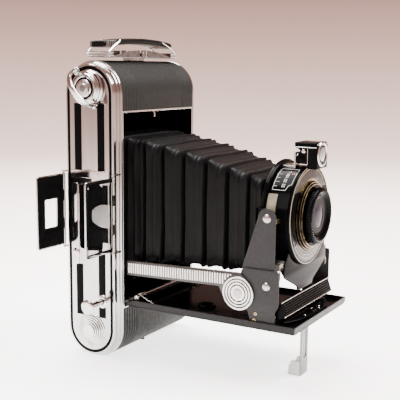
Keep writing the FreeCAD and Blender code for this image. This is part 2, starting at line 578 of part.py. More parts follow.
def make_release_bar():
    """The ribbed bar across the bed between the brackets, which is pressed to fold the camera."""
    outline = [("bar_y - 3.4", "48.4"), ("bar_y - 5.7", "40.4"), ("bar_y - 6.4", "40.8"), ("bar_y - 4.1", "48.8")]
    bar = plate("bar_strip", "YZ_Plane", outline, "-bar_half", "2 * bar_half")
    arm = [("bar_y - 3.4", "48.4"), ("bar_y - 5.7", "40.4"), ("bar_y - 1", "bar_z - 2.4"),
           ("bar_y + 2.4", "bar_z - 1"), ("bar_y + 2.2", "bar_z + 1.8")]
    arms = [plate("bar_arm_left", "YZ_Plane", arm, "-bar_half", "0.8"),
            plate("bar_arm_right", "YZ_Plane", arm, "bar_half - 0.8", "0.8")]
    holes = [rod(f"bar_hole_{i}", (x, "bar_y", "bar_z"), "+X", "1.28", "3")
             for i, x in enumerate(("-bar_half - 1", "bar_half - 2"))]
    node(cut("release_bar", fuse("bar_blank", [bar] + arms), holes))


def make_leg():
    strip = block("leg_strip", ("leg_x - leg_half", "leg_y - leg_thick / 2", "0"),
                  ("leg_x + leg_half", "leg_y + leg_thick / 2", "leg_pivot_z - 0.4"))
    barrel = rod("leg_barrel", ("leg_x - leg_half", "leg_y", "leg_pivot_z"), "+X", "1.3", "2 * leg_half")
    sole = block("leg_sole", ("leg_x - leg_half", "leg_y", "0"), ("leg_x + leg_half", "leg_y + 7.6", "0.9"))
    cheek = [("leg_y", "0"), ("leg_y + 7.6", "0"), ("leg_y + 5.6", "8.6"), ("leg_y", "8.6")]
    cheeks = [plate("leg_cheek_left", "YZ_Plane", cheek, "leg_x - leg_half", "0.8"),
              plate("leg_cheek_right", "YZ_Plane", cheek, "leg_x + leg_half - 0.8", "0.8")]
    bore = rod("leg_bore", ("leg_x - leg_half - 1", "leg_y", "leg_pivot_z"), "+X", "0.67", "2 * leg_half + 2")
    node(cut("support_leg", fuse("leg_blank", [strip, barrel, sole] + cheeks), [bore]))


# ---------------------------------------------------------------- lens
def make_lens_board():
    """The board that the shutter sits on, with side lugs on the wing rivets, and its front plate."""
    disc = rod("board_disc", ("0", "board_rear", "lens_z"), "-Y", "board_radius", "board_thick")
    cross = block("board_cross", ("-lug_out", "board_rear - board_thick", "board_z - 7"),
                  ("lug_out", "board_rear", "board_z + 5.5"))
    lugs = [block(f"board_lug_{i}", (x, "board_y - 4.6", "board_z - 7"), (f"{x} + lug_thick", "board_rear",
                  "board_z + 5.2")) for i, x in enumerate(("-lug_out", "lug_out - lug_thick"))]
    skirt = block("board_skirt", ("-20", "board_rear - board_thick", "58"), ("20", "board_rear", "76"))
    holes = [rod("board_hole", ("0", "board_rear + 1", "lens_z"), "-Y", "12", "4"),
             rod("lug_holes", ("-lug_out - 1", "board_y", "board_z"), "+X", "1.4", "2 * lug_out + 2")]
    node(cut("lens_board", fuse("board_blank", [disc, cross, skirt] + lugs), holes))
    low = [("24", "74"), ("28.3", "67.5"), ("29", "61.3"), ("26", "59.5"), ("10", "52"), ("10", "49.8")]
    outline = [(f"-{x}", z) for x, z in low] + low[::-1]
    front = plate("front_plate_blank", "XZ_Plane", outline, "-housing_front - 1.2", "0.8")
    room = rod("front_plate_room", ("0", "-100", "lens_z"), "-Y", "housing_radius + 0.02", "30")
    node(cut("standard_front_plate", front, [room]))
    rivets = []
    for side, start in (("right", "lug_out - lug_thick - 0.5"),):
        shank = rod("board_rivet_shank", (start, "board_y", "board_z"), "+X", "1.4",
                    "wing_in + wing_thick + 0.1 - (" + start + ")")
        head = rod("board_rivet_head", ("wing_in + wing_thick + 0.05", "board_y", "board_z"), "+X",
                   "rivet_radius", "0.9")
        rivets.append(fuse("board_rivet_" + side, [shank, head]))
    node(group("board_rivets", [rivets[0], mirrored("board_rivet_left", rivets[0])]))


def lever_slot(name, front, rear, low, high):
    """A slot round part of the shutter housing's wall, between two heights along Y."""
    band = ring(name + "_band", ("0", rear, "lens_z"), "-Y", "housing_radius + 1", "slot_radius",
                f"({rear}) - ({front})")
    return common(name, band, block(name + "_sector", (low[0], front, low[1]), (high[0], rear, high[1])))


def make_shutter():
    """Shutter housing with its finder post, faceplate, scale plate, barrel, blades and levers."""
    drum = rod("housing_drum", ("0", "board_rear - board_thick", "lens_z"), "-Y", "housing_radius",
               "board_rear - board_thick - housing_front")
    post = block("finder_post", ("finder_pivot_x - 2", "finder_rear + 0.6", "lens_z + housing_radius - 6"),
                 ("finder_pivot_x + 3", "finder_rear + 1.6", "finder_pivot_z + 1.8"))
    pin = rod("finder_pin", ("finder_pivot_x", "finder_rear + 1", "finder_pivot_z"), "-Y", "0.9", "3")
    bore = rod("housing_bore", ("0", "-90", "lens_z"), "-Y", "11", "40")
    slots = [lever_slot("speed_slot", "-113.2", "-111", ("-housing_radius - 1", "lens_z - 26.5"),
                        ("-7.5", "lens_z + 4.5")),
             lever_slot("aperture_slot", "-115.4", "-113.4", ("-11.4", "lens_z - housing_radius - 1"),
                        ("11.4", "lens_z - 15")),
             lever_slot("release_slot", "-113.2", "-111", ("15", "lens_z - 2"),
                        ("housing_radius + 1", "lens_z + 13"))]
    node(cut("shutter_housing", fuse("housing_blank", [drum, post, pin]),
             [bore] + slots))
    node(ring("faceplate", ("0", "housing_front", "lens_z"), "-Y", "face_radius", "12.2",
              "housing_front - face_front"))
    band = ring("scale_band", ("0", "-105.5", "lens_z"), "-Y", "housing_radius + 0.55", "housing_radius", "10.5")
    sector = block("scale_sector", ("-24", "-117", "lens_z + 13"), ("-9.5", "-104", "lens_z + 29"))
    node(common("speed_scale_plate", band, sector))
    node(turned("lens_barrel", ("0", "face_front", "lens_z"), "-Y", [
        ("12.2", "0"), ("barrel_radius", "0"), ("barrel_radius", "1.1"), ("17.4", "1.5"), ("17.0", "2.6"),
        ("12.2", "2.6")]))
    node(turned("rear_lens", ("0", "-104", "lens_z"), "-Y", [
        ("0", "0"), ("6", "0.4"), ("10.9", "1.2"), ("10.9", "3"), ("0", "3")]))
    node(rod("shutter_blades", ("0", "-110", "lens_z"), "-Y", "10.9", "0.5"))
    node(turned("focus_ring", ("0", "ring_front", "lens_z"), "+Y", [
        ("10.6", "0.5"), ("13.4", "0"), ("ring_radius", "0.5"), ("ring_radius", "3.1"), ("11.8", "3.1"),
        ("11.8", "6.2"), ("10.6", "6.2")]))
    node(turned("front_lens", ("0", "ring_front", "lens_z"), "+Y", [
        ("0", "-0.1"), ("6", "0.3"), ("10.6", "1.4"), ("10.6", "4"), ("0", "4")]))
    lever = [("aperture_lever", ("-1.2", "-115.1", "lens_z - housing_radius - 4.6"),
              ("1.2", "-113.7", "lens_z - housing_radius + 5"))]
    lever.append(("speed_lever", ("-housing_radius - 4.4", "-112.9", "lens_z - 1.2"),
                  ("-housing_radius + 5", "-111.3", "lens_z + 1.2")))
    lever.append(("release_lever", ("housing_radius - 5", "-112.9", "lens_z + 1"),
                  ("housing_radius + 4.6", "-111.3", "lens_z + 4")))
    for name, low, high in lever:
        node(block(name, low, high))


def make_reflex_finder():
    """The small reflex finder on its post over the shutter, with a front lens and a top lens."""
    outline = [("finder_front", "finder_low"), ("finder_front", "finder_top - 0.8"),
               ("finder_front + 0.8", "finder_top"), ("finder_over - 0.6", "finder_top"),
               ("finder_over", "finder_top - 0.8"), ("finder_over", "finder_top - 2.6"),
               ("finder_over - 0.8", "finder_top - 3.4"), ("finder_over - 3.6", "finder_top - 4.4"),
               ("finder_rear", "finder_top - 7.6"), ("finder_rear", "119.8"),
               ("face_front - 0.4", "119.8"), ("face_front - 0.4", "finder_low")]
    body = plate("finder_blank", "YZ_Plane", outline, "-finder_half", "2 * finder_half")
    tools = [block("finder_room", ("-finder_half + 1", "finder_front + 1.2", "120.9"),
                   ("finder_half - 1", "finder_rear - 5.2", "finder_top - 1")),
             rod("finder_eye", ("0", "finder_front + 2", "eye_z"), "-Y", "3.9", "4"),
             block("finder_top_window", ("-finder_half + 2.2", "finder_front + 2.4", "finder_top - 2"),
                   ("finder_half - 2.2", "finder_rear - 5.4", "finder_top + 1")),
             rod("finder_pin_hole", ("finder_pivot_x", "finder_rear + 1", "finder_pivot_z"), "-Y", "0.98", "4")]
    node(cut("reflex_finder_body", body, tools))
    front = turned("finder_eye_lens", ("0", "finder_front", "eye_z"), "-Y", [
        ("0", "0"), ("4.4", "0"), ("4.4", "0.4"), ("3", "0.9"), ("0", "1.1")])
    top = block("finder_top_lens", ("-finder_half + 2.3", "finder_front + 2.5", "finder_top - 0.95"),
                ("finder_half - 2.3", "finder_rear - 5.5", "finder_top - 0.2"))
    node(group("reflex_finder_lens", [front, top]))


# ---------------------------------------------------------------- back
def make_back():
    """The hinged back with its covering, pressure plate, red window, window slide and latch."""
    shell = cut("back_shell", stadium("back_outside", "-shell_half", "shell_half", "leather"),
                [stadium("back_inside", "-shell_half - 1", "shell_half + 1", "leather + 1")])
    keep = block("back_keep", ("-shell_half", "split_y + 0.2", "back_low + 0.2"),
                 ("shell_half", "body_radius + 1", "body_height - back_low - 0.2"))
    barrel = rod("back_barrel", ("-back_half", "back_hinge_y", "back_hinge_z"), "+X", "back_knuckle",
                 "2 * back_half")
    webs = [block("back_web_low", ("-back_half", "back_hinge_y + 0.5", "back_hinge_z"),
                  ("back_half", "back_hinge_y + 1", "back_hinge_z + 1.2")),
            block("back_web_high", ("-back_half", "back_hinge_y + 0.65", "back_hinge_z + 1.05"),
                  ("back_half", "split_y + 0.4", "back_hinge_z + 3.2"))]
    bore = rod("back_bore", ("-back_half - 1", "back_hinge_y", "back_hinge_z"), "+X", "pin_radius + 0.08",
               "2 * back_half + 2")
    window = rod("back_window_hole", ("0", "10", "window_z"), "+Y", "4.6", "12")
    node(cut("back_cover", fuse("back_blank", [common("back_skin", shell, keep), barrel] + webs),
             [bore, window]))
    skin = cut("back_leather_shell", stadium("back_leather_outside", "-shell_half", "shell_half"),
               [stadium("back_leather_inside", "-shell_half", "shell_half", "leather")])
    skin_keep = block("back_leather_keep", ("-shell_half", "split_y + 0.4", "back_low + 0.6"),
                      ("shell_half", "body_radius + 1", "body_height - back_low - 0.2"))
    node(cut("back_leather", common("back_leather_cut", skin, skin_keep),
             [rod("leather_window_hole", ("0", "10", "window_z"), "+Y", "5.4", "12")]))
    node(rod("red_window", ("0", "body_radius - leather - 0.9", "window_z"), "+Y", "4.6", "0.8"))
    springs = [block(f"pressure_spring_{i}", ("-10", "pressure_y + 0.5", z), ("10", "pressure_y + 1.6", f"{z} + 5"))
               for i, z in enumerate(("70", "105"))]
    pressure = block("pressure_sheet", ("-33", "pressure_y", "open_low + 3"),
                     ("33", "pressure_y + 0.5", "open_high - 3"))
    node(cut("pressure_plate", fuse("pressure_blank", [pressure] + springs),
             [rod("pressure_hole", ("0", "10", "window_z"), "+Y", "5", "12")]))
    node(fuse("window_slide", [
        block("slide_plate", ("-7.5", "body_radius + 0.3", "window_z - 7"),
              ("7.5", "body_radius + 1", "window_z + 7")),
        block("slide_thumb", ("-1.5", "body_radius + 0.9", "window_z - 4"),
              ("1.5", "body_radius + 1.9", "window_z + 4"))]))
    node(fuse("back_latch", [
        block("latch_plate", ("-8", "body_radius + 0.3", "body_height - 21"),
              ("8", "body_radius + 1.1", "body_height - 11")),
        block("latch_thumb", ("-4", "body_radius + 1", "body_height - 18"),
              ("4", "body_radius + 2.1", "body_height - 14"))]))


def main():
    for make in (make_casing, make_casing_leather, make_side_plates, make_inside, make_bellows, make_handle,
                 make_side_finder, make_key, make_small_case_parts, make_bed, make_bracket, make_wing,
                 make_strut, make_release_bar, make_leg, make_lens_board, make_shutter,
                 make_reflex_finder, make_back):
        make()
    doc.recompute()
    failed = [o.Name for o in doc.Objects if {"Invalid", "Error"} & set(o.State)]
    if failed:
        raise SystemExit(f"these objects failed: {failed}")
    os.makedirs("parts", exist_ok=True)
    for item in NODES:
        shape = item.Shape
        if shape.isNull() or not shape.isValid() or not shape.Solids:
            raise SystemExit(f"{item.Label} has no valid solid")
        shape.exportStep(f"parts/{item.Label}.step")
        print(f"{item.Label:24s} {len(shape.Solids)} solid(s) {shape.Volume:10.1f} mm3")


main()
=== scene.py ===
"""The looks of the folding camera: every piece is in the shared frame and rides on a CAD body."""
from math import copysign, cos, exp, pi, radians, sin, sqrt

import bmesh
import bpy
from mathutils import Matrix, Vector, noise


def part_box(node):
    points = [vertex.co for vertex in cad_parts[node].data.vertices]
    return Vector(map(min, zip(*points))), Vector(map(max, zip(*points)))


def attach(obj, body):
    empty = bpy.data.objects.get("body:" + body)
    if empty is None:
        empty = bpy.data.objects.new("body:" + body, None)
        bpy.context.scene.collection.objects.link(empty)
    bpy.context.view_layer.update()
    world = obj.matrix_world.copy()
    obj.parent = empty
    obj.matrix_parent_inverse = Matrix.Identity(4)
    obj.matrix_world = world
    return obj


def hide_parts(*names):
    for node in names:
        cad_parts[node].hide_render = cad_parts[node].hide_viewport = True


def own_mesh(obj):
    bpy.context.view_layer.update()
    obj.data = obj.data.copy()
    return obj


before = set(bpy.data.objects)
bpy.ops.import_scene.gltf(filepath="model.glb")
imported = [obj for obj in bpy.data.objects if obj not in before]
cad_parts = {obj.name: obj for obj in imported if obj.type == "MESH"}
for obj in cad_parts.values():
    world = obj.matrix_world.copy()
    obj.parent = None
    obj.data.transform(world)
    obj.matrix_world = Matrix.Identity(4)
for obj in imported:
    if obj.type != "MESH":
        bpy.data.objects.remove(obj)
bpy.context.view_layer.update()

MM = 0.001
COVER_HALF = 38.35
SIDE_FACE = -44.8
PIVOT_Y, PIVOT_Z = -93, 51.1
DRUM_OUT = 27.8
FACE_Y = -118.2


def mm_box(node):
    """The box of a CAD node in millimetres."""
    low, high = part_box(node)
    return [v / MM for v in low], [v / MM for v in high]


# ---------------------------------------------------------------- materials
def material(name, color, metallic=0.0, rough=0.4, coat=0.0, bumps=(), grain=None, tint=None, smudge=None,
        specular=0.5, transmission=0.0, ior=1.5):
    """A Principled material with layered procedural relief, colour variation and uneven gloss.

    bumps: (kind, scale per metre, depth in mm, stretch along x, y, z). grain: one layer of noise alone.
    tint: (scale, amount), random lighter and darker patches of the colour; on the two nickel looks these
    patches are painted reflections.
    smudge: (scale, lowest roughness, highest roughness, stretch).
    """
    made = bpy.data.materials.new(name)
    made.use_nodes = True
    nodes, links = made.node_tree.nodes, made.node_tree.links
    shader = nodes["Principled BSDF"]
    for socket, value in (("Base Color", (*color, 1)), ("Metallic", metallic), ("Roughness", rough),
            ("Specular IOR Level", specular), ("Coat Weight", coat), ("Coat Roughness", 0.06),
            ("Sheen Weight", 0.0), ("Transmission Weight", transmission), ("IOR", ior)):
        shader.inputs[socket].default_value = value
    place = nodes.new("ShaderNodeTexCoord")

    def pattern(kind, scale, stretch=(1, 1, 1), detail=3.0):
        mapping = nodes.new("ShaderNodeMapping")
        mapping.inputs["Scale"].default_value = [scale * s for s in stretch]
        links.new(place.outputs["Object"], mapping.inputs["Vector"])
        if kind == "cells" or kind == "cracks":
            texture = nodes.new("ShaderNodeTexVoronoi")
            if kind == "cracks":
                texture.feature = "DISTANCE_TO_EDGE"
            texture.inputs["Scale"].default_value = 1.0
            out = texture.outputs["Distance"]
        else:
            texture = nodes.new("ShaderNodeTexNoise")
            texture.inputs["Scale"].default_value = 1.0
            texture.inputs["Detail"].default_value = detail
            out = texture.outputs["Fac"]
        links.new(mapping.outputs["Vector"], texture.inputs["Vector"])
        return out

    if grain:
        bumps = [("noise", *grain)]
    last = None
    for kind, scale, depth, *stretch in bumps:
        bump = nodes.new("ShaderNodeBump")
        bump.inputs["Distance"].default_value = depth * MM
        bump.inputs["Strength"].default_value = 1.0
        links.new(pattern(kind, scale, *stretch), bump.inputs["Height"])
        if last:
            links.new(last.outputs["Normal"], bump.inputs["Normal"])
        last = bump
    if last:
        links.new(last.outputs["Normal"], shader.inputs["Normal"])
    if tint:
        scale, amount, *stretch = tint
        ramp = nodes.new("ShaderNodeMix")
        ramp.data_type = "RGBA"
        ramp.inputs["A"].default_value = (*[c * (1 - amount) for c in color], 1)
        ramp.inputs["B"].default_value = (*[min(1, c * (1 + amount)) for c in color], 1)
        links.new(pattern("noise", scale, *stretch, detail=5.0), ramp.inputs["Factor"])
        links.new(ramp.outputs["Result"], shader.inputs["Base Color"])
    if smudge:
        scale, low, high, *stretch = smudge
        spread = nodes.new("ShaderNodeMapRange")
        for socket, value in (("From Min", 0.3), ("From Max", 0.75), ("To Min", low), ("To Max", high)):
            spread.inputs[socket].default_value = value
        links.new(pattern("noise", scale, *stretch, detail=6.0), spread.inputs["Value"])
        links.new(spread.outputs["Result"], shader.inputs["Roughness"])
    return made


# Painted reflections: the strong stretched tint makes light and dark streaks in the nickel colour that stand
# for reflections.
CHROME = material("bright_nickel_painted_reflections", (0.496, 0.4898, 0.4836), 1, 0.09, tint=(110, 0.4, (1, 1.4, 0.7)),
    smudge=(140, 0.05, 0.19), bumps=[("noise", 55, 0.10), ("noise", 2500, 0.0015, (1, 1, 0.06))])
# Painted reflections: the stronger stretched tint here makes wide light and dark streaks in the colour that
# stand for reflections.
PANEL = material("wavy_nickel_painted_reflections", (0.492, 0.486, 0.486), 1, 0.09, tint=(30, 0.62, (1, 1.6, 0.4)),
    smudge=(90, 0.04, 0.15), bumps=[("noise", 38, 0.22, (1, 1, 0.45)), ("noise", 2600, 0.0012, (1, 1, 0.05))])
SATIN = material("satin_nickel", (0.333, 0.3285, 0.3195), 1, 0.27, tint=(200, 0.08), smudge=(220, 0.2, 0.38),
    grain=(3000, 0.003, (1, 0.1, 1)))
PLATE = material("strut_plate", (0.5332, 0.527, 0.5084), 1, 0.2, tint=(160, 0.05), smudge=(150, 0.13, 0.32),
    grain=(1500, 0.003))
ENAMEL = material("black_enamel", (0.0016, 0.0017, 0.002), 0, 0.12, specular=0.3, ior=1.12, tint=(90, 0.3),
    smudge=(120, 0.07, 0.24), grain=(500, 0.006))
STRIPE = material("stripe_enamel", (0.0016, 0.0017, 0.002), 0, 0.14, specular=0.3, ior=1.12, tint=(60, 0.25),
    smudge=(100, 0.08, 0.2), grain=(300, 0.004))
CRACKLE = material("crackle_paint", (0.017, 0.0176, 0.018), 0, 0.45, specular=0.15, tint=(700, 0.45),
    smudge=(900, 0.34, 0.62), bumps=[("cracks", 1150, 0.13), ("noise", 2200, 0.07)])
RIM = material("rim_paint", (0.006, 0.006, 0.0062), 0.1, 0.3, specular=0.15, tint=(120, 0.25),
    smudge=(150, 0.22, 0.42), grain=(900, 0.006))
BRASS = material("old_brass", (0.308, 0.2365, 0.121), 1, 0.24, tint=(180, 0.25), smudge=(160, 0.16, 0.42),
    grain=(1400, 0.004))
CREAM = material("cream_enamel", (0.252, 0.216, 0.162), 0.2, 0.4, tint=(160, 0.2), smudge=(180, 0.3, 0.5),
    grain=(1300, 0.005))
OLIVE = material("dull_brass", (0.1485, 0.1305, 0.0855), 0.8, 0.34, tint=(160, 0.25), smudge=(180, 0.25, 0.48),
    grain=(1100, 0.006))
TAUPE = material("etched_plate", (0.040, 0.035, 0.033), 0.65, 0.36, tint=(220, 0.18), smudge=(260, 0.28, 0.5),
    grain=(2800, 0.006))
WHITE = material("filled_white", (0.39, 0.385, 0.36), 0, 0.4, tint=(500, 0.12), grain=(2000, 0.004))
RED = material("filled_red", (0.434, 0.0245, 0.014), 0, 0.4, tint=(500, 0.15), grain=(2000, 0.004))
LEATHER = material("grained_covering", (0.0105, 0.0106, 0.0097), 0, 0.56, specular=0.12, tint=(420, 0.4),
    smudge=(500, 0.44, 0.7), bumps=[("cells", 1500, 0.07, (1, 1, 0.55)), ("noise", 3200, 0.03),
    ("noise", 120, 0.05)])
BELLOWS = material("bellows_leather", (0.0024, 0.0025, 0.0027), 0, 0.42, specular=0.07, tint=(160, 0.4),
    smudge=(240, 0.33, 0.6), bumps=[("cells", 1300, 0.035), ("noise", 260, 0.12),
    ("noise", 90, 0.25, (1, 1, 0.35))])
GRIP = material("grip_leather", (0.0036, 0.0032, 0.003), 0, 0.34, specular=0.4, ior=1.15, tint=(300, 0.4),
    smudge=(300, 0.26, 0.5), bumps=[("cells", 900, 0.08), ("noise", 300, 0.1, (0.4, 1, 1))])
TAN = material("grip_underside", (0.055, 0.0425, 0.0325), 0, 0.5, specular=0.15, tint=(250, 0.3),
    smudge=(260, 0.4, 0.65), bumps=[("cells", 1300, 0.05)])
PALE = material("pale_spring_plate", (0.329, 0.336, 0.322), 0.6, 0.32, tint=(150, 0.15),
    smudge=(160, 0.25, 0.42), grain=(1600, 0.004))
# Flat black: real black paint on the finder recess and leaves, and also painted shade where it lines the strut
# disc grooves and the key groove.
DARK = material("flat_black_and_painted_shade", (0.0022, 0.0022, 0.0024), 0, 0.42, specular=0.3, ior=1.12, tint=(200, 0.3),
    smudge=(200, 0.34, 0.55), grain=(1500, 0.012))
# Painted shade: a dark metal laid under the bright flutes of the strut, so the gaps between the flutes read as
# shade.
SHADE = material("dark_strut_painted_shade", (0.05, 0.049, 0.048), 1, 0.35, tint=(200, 0.1), smudge=(200, 0.2, 0.4),
    grain=(1500, 0.003))
STEEL = material("ground_steel", (0.17, 0.168, 0.164), 1, 0.3, tint=(300, 0.12), smudge=(300, 0.22, 0.42),
    grain=(2500, 0.004))
GLASS = material("window_glass", (0.72, 0.73, 0.74), 0, 0.02, transmission=1.0, ior=1.2, grain=(60, 0.002),
    smudge=(100, 0.0, 0.05))
LENS = material("lens_glass", (0.012, 0.010, 0.018), 0, 0.03, specular=0.4, ior=1.2, grain=(40, 0.001),
    smudge=(80, 0.01, 0.05))
RUBY = material("ruby_window", (0.28, 0.008, 0.008), 0, 0.08, coat=0.5, tint=(100, 0.2),
    smudge=(100, 0.05, 0.15), grain=(400, 0.004))


# ---------------------------------------------------------------- mesh helpers
WELD = 2e-6
BLOCK_SIDES = [(0, 3, 2, 1), (4, 5, 6, 7), (0, 1, 5, 4), (1, 2, 6, 5), (2, 3, 7, 6), (3, 0, 4, 7)]
TICK_SIDES = [(3, 2, 1, 0)] + BLOCK_SIDES[1:]
BOX_SIDES = [(0, 1, 2, 3), (4, 7, 6, 5), (0, 4, 5, 1), (1, 5, 6, 2), (2, 6, 7, 3), (3, 7, 4, 0)]


def link(thing):
    bpy.context.scene.collection.objects.link(thing)
    return thing


def weld(mesh, degenerate=False):
    """Joins double points and turns all faces outwards."""
    work = bmesh.new()
    work.from_mesh(mesh)
    bmesh.ops.remove_doubles(work, verts=work.verts, dist=WELD)
    if degenerate:
        bmesh.ops.dissolve_degenerate(work, edges=work.edges, dist=1e-7)
    bmesh.ops.recalc_face_normals(work, faces=work.faces)
    work.to_mesh(mesh)
    work.free()


def baked(piece):
    """The mesh of an object with its modifiers or its curve applied."""
    bpy.context.view_layer.update()
    return bpy.data.meshes.new_from_object(piece.evaluated_get(bpy.context.evaluated_depsgraph_get()))


def mesh_of(name, data):
    """A curve or a text as a bare mesh."""
    helper = link(bpy.data.objects.new(name + "_helper", data))
    mesh = baked(helper)
    bpy.data.objects.remove(helper)
    mesh.materials.clear()
    mesh.name = name
    return mesh


class Build:
    """Collects faces in millimetres, then becomes one object that rides on a body."""

    def __init__(self):
        self.points, self.faces = [], []

    def add(self, points, faces):
        start = len(self.points)
        self.points += [tuple(p) for p in points]
        self.faces += [[i + start for i in f] for f in faces]
        return self

    def loft(self, rings, closed=True, caps=True):
        """Skins a list of rings that have the same number of points."""
        n = len(rings[0])
        faces = []
        for i in range(len(rings) - 1):
            for j in range(n if closed else n - 1):
                k = (j + 1) % n
                faces.append((i * n + j, i * n + k, (i + 1) * n + k, (i + 1) * n + j))
        if caps and closed:
            faces.append(tuple(reversed(range(n))))
            faces.append(tuple(range((len(rings) - 1) * n, len(rings) * n)))
        return self.add([p for ring in rings for p in ring], faces)

    def block(self, corner, opposite):
        (a, d), (b, e), (c, f) = map(sorted, zip(corner, opposite))
        return self.add([(x, y, z) for z in (c, f) for x, y in ((a, b), (d, b), (d, e), (a, e))], BLOCK_SIDES)

    def prism(self, outline, x0, x1):
        """Runs an outline of (y, z) points along X."""
        return self.loft([[(x, y, z) for y, z in outline] for x in sorted((x0, x1))])

    def lathe(self, origin, axis, profile, count=72):
        """Turns (radius, distance along the axis) pairs about the axis."""
        axis = Vector(axis).normalized()
        side = axis.orthogonal().normalized()
        up = axis.cross(side)
        origin = Vector(origin)
        rings = []
        for r, h in profile:
            ring = []
            for i in range(count):
                a = 2 * pi * i / count
                ring.append(origin + axis * h + (side * cos(a) + up * sin(a)) * max(r, 1e-4))
            rings.append(ring)
        return self.loft(rings)

    def rod(self, a, b, radius, count=20, edge=None):
        a, b = Vector(a), Vector(b)
        edge = min(radius, (b - a).length / 2) * 0.25 if edge is None else edge
        length = (b - a).length
        return self.lathe(a, b - a, [(0, 0), (radius - edge, 0), (radius, edge), (radius, length - edge),
            (radius - edge, length), (0, length)], count)

    def tube(self, path, radius, count=14):
        """A round wire along a path of points; its ends are closed."""
        path = [Vector(p) for p in path]
        rings, last = [], None
        for i, p in enumerate(path):
            ahead = path[min(i + 1, len(path) - 1)] - path[max(i - 1, 0)]
            ahead.normalize()
            if last is None:
                side = ahead.orthogonal().normalized()
            else:
                side = (last - ahead * last.dot(ahead)).normalized()
            last = side
            up = ahead.cross(side)
            rings.append([p + (side * cos(2 * pi * j / count) + up * sin(2 * pi * j / count)) * radius
                for j in range(count)])
        return self.loft(rings)

    def mesh(self, name):
        mesh = bpy.data.meshes.new(name)
        mesh.from_pydata([(x * MM, y * MM, z * MM) for x, y, z in self.points], [], self.faces)
        return mesh

    def object(self, name, body, look, stands_for=(), slot=None, bevel=0.0, angle=32):
        return finish_piece(self.mesh(name), name, body, look, stands_for, bevel, angle)


def turned(name, body, look, origin, axis, profile, count=72, **rest):
    """A turned piece that is one object of its own."""
    return Build().lathe(origin, axis, profile, count).object(name, body, look, **rest)


def slab(name, body, look, low, high, **rest):
    """A straight block that is one object of its own."""
    return Build().block(low, high).object(name, body, look, **rest)


def finish_piece(mesh, name, body, look, stands_for=(), bevel=0.0, angle=32):
    """Cleans a mesh, gives it its material and soft edges, and makes it ride on a body."""
    weld(mesh, degenerate=True)
    mesh.materials.append(look)
    mesh.shade_smooth()
    mesh.set_sharp_from_angle(angle=radians(angle))
    piece = link(bpy.data.objects.new(name, mesh))
    if bevel:
        edge = piece.modifiers.new("soft_edges", "BEVEL")
        edge.width = bevel * MM
        edge.segments = 2
        edge.limit_method = "ANGLE"
        edge.angle_limit = radians(angle)
        edge.harden_normals = True
    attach(piece, body)
    if stands_for:
        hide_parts(*stands_for)
    return piece


PLANES = {"XY": Matrix(((1, 0, 0), (0, 1, 0), (0, 0, 1))), "XZ": Matrix(((1, 0, 0), (0, 0, -1), (0, 1, 0))),
    "YZ": Matrix(((0, 0, 1), (1, 0, 0), (0, 1, 0)))}


def rounded(points, radius, steps=5):
    """A closed outline with its corners rounded; a corner may carry its own radius as a third value."""
    out, n = [], len(points)
    for i, corner in enumerate(points):
        r = corner[2] if len(corner) > 2 else radius
        p = Vector(corner[:2])
        a, b = Vector(points[i - 1][:2]) - p, Vector(points[(i + 1) % n][:2]) - p
        reach = min(r, a.length * 0.45, b.length * 0.45)
        if reach < 0.02:
            out.append(tuple(p))
            continue
        start, end = p + a.normalized() * reach, p + b.normalized() * reach
        for k in range(steps + 1):
            t = k / steps
            out.append(tuple(start * (1 - t) ** 2 + p * 2 * t * (1 - t) + end * t * t))
    return out


def rect(u0, v0, u1, v1, radius):
    """A rounded rectangle between two opposite corners."""
    return rounded([(u0, v0), (u1, v0), (u1, v1), (u0, v1)], radius)


def circle(u, v, r, count=40, start=0.0, sweep=360.0):
    steps = count if abs(sweep - 360) < 1e-6 else count + 1
    return [(u + r * cos(radians(start + sweep * i / count)), v + r * sin(radians(start + sweep * i / count)))
        for i in range(steps)]


def sheet_metal(name, plane, outlines, start, thick, body, look, edge=0.15, stands_for=(), angle=35):
    """A flat plate with holes and rounded edges. start and thick run along the plane's normal."""
    curve = bpy.data.curves.new(name + "_outline", "CURVE")
    curve.dimensions = "2D"
    curve.fill_mode = "BOTH"
    edge = min(edge, thick * 0.49)
    curve.extrude = (thick / 2 - edge) * MM
    curve.bevel_depth = edge * MM
    curve.bevel_resolution = 2
    curve.offset = -edge * MM
    for outline in outlines:
        spline = curve.splines.new("POLY")
        spline.points.add(len(outline) - 1)
        for point, (u, v) in zip(spline.points, outline):
            point.co = (u * MM, v * MM, 0, 1)
        spline.use_cyclic_u = True
    mesh = mesh_of(name, curve)
    bpy.data.curves.remove(curve)
    turn = PLANES[plane]
    normal = turn @ Vector((0, 0, 1))
    middle = normal * (start + thick / 2) * MM
    for vertex in mesh.vertices:
        vertex.co = turn @ vertex.co + middle
    return finish_piece(mesh, name, body, look, stands_for, angle=angle)


def number(text, size, centre, where, body, look, name, depth=0.06):
    """Raised figures. where(u, v, w) gives the place of a point of the flat figures, in millimetres."""
    font = bpy.data.curves.new(name + "_font", "FONT")
    font.body = text
    font.size = size * MM
    font.align_x = font.align_y = "CENTER"
    font.extrude = depth * MM / 2
    mesh = mesh_of(name, font)
    for vertex in mesh.vertices:
        u, v, w = [c / MM for c in vertex.co]
        vertex.co = Vector(where(u + centre[0], v + centre[1], w)) * MM
    return finish_piece(mesh, name, body, look)


def cut_out(piece, *cutters):
    """Boolean difference, applied."""
    for cutter in cutters:
        mesh = cutter.mesh("cutter")
        weld(mesh)
        tool = link(bpy.data.objects.new("cutter", mesh))
        step = piece.modifiers.new("cut", "BOOLEAN")
        step.operation = "DIFFERENCE"
        step.solver = "EXACT"
        step.object = tool
        made = baked(piece)
        piece.modifiers.remove(step)
        bpy.data.objects.remove(tool)
        made.shade_smooth()
        made.set_sharp_from_angle(angle=radians(32))
        piece.data = made
    return piece


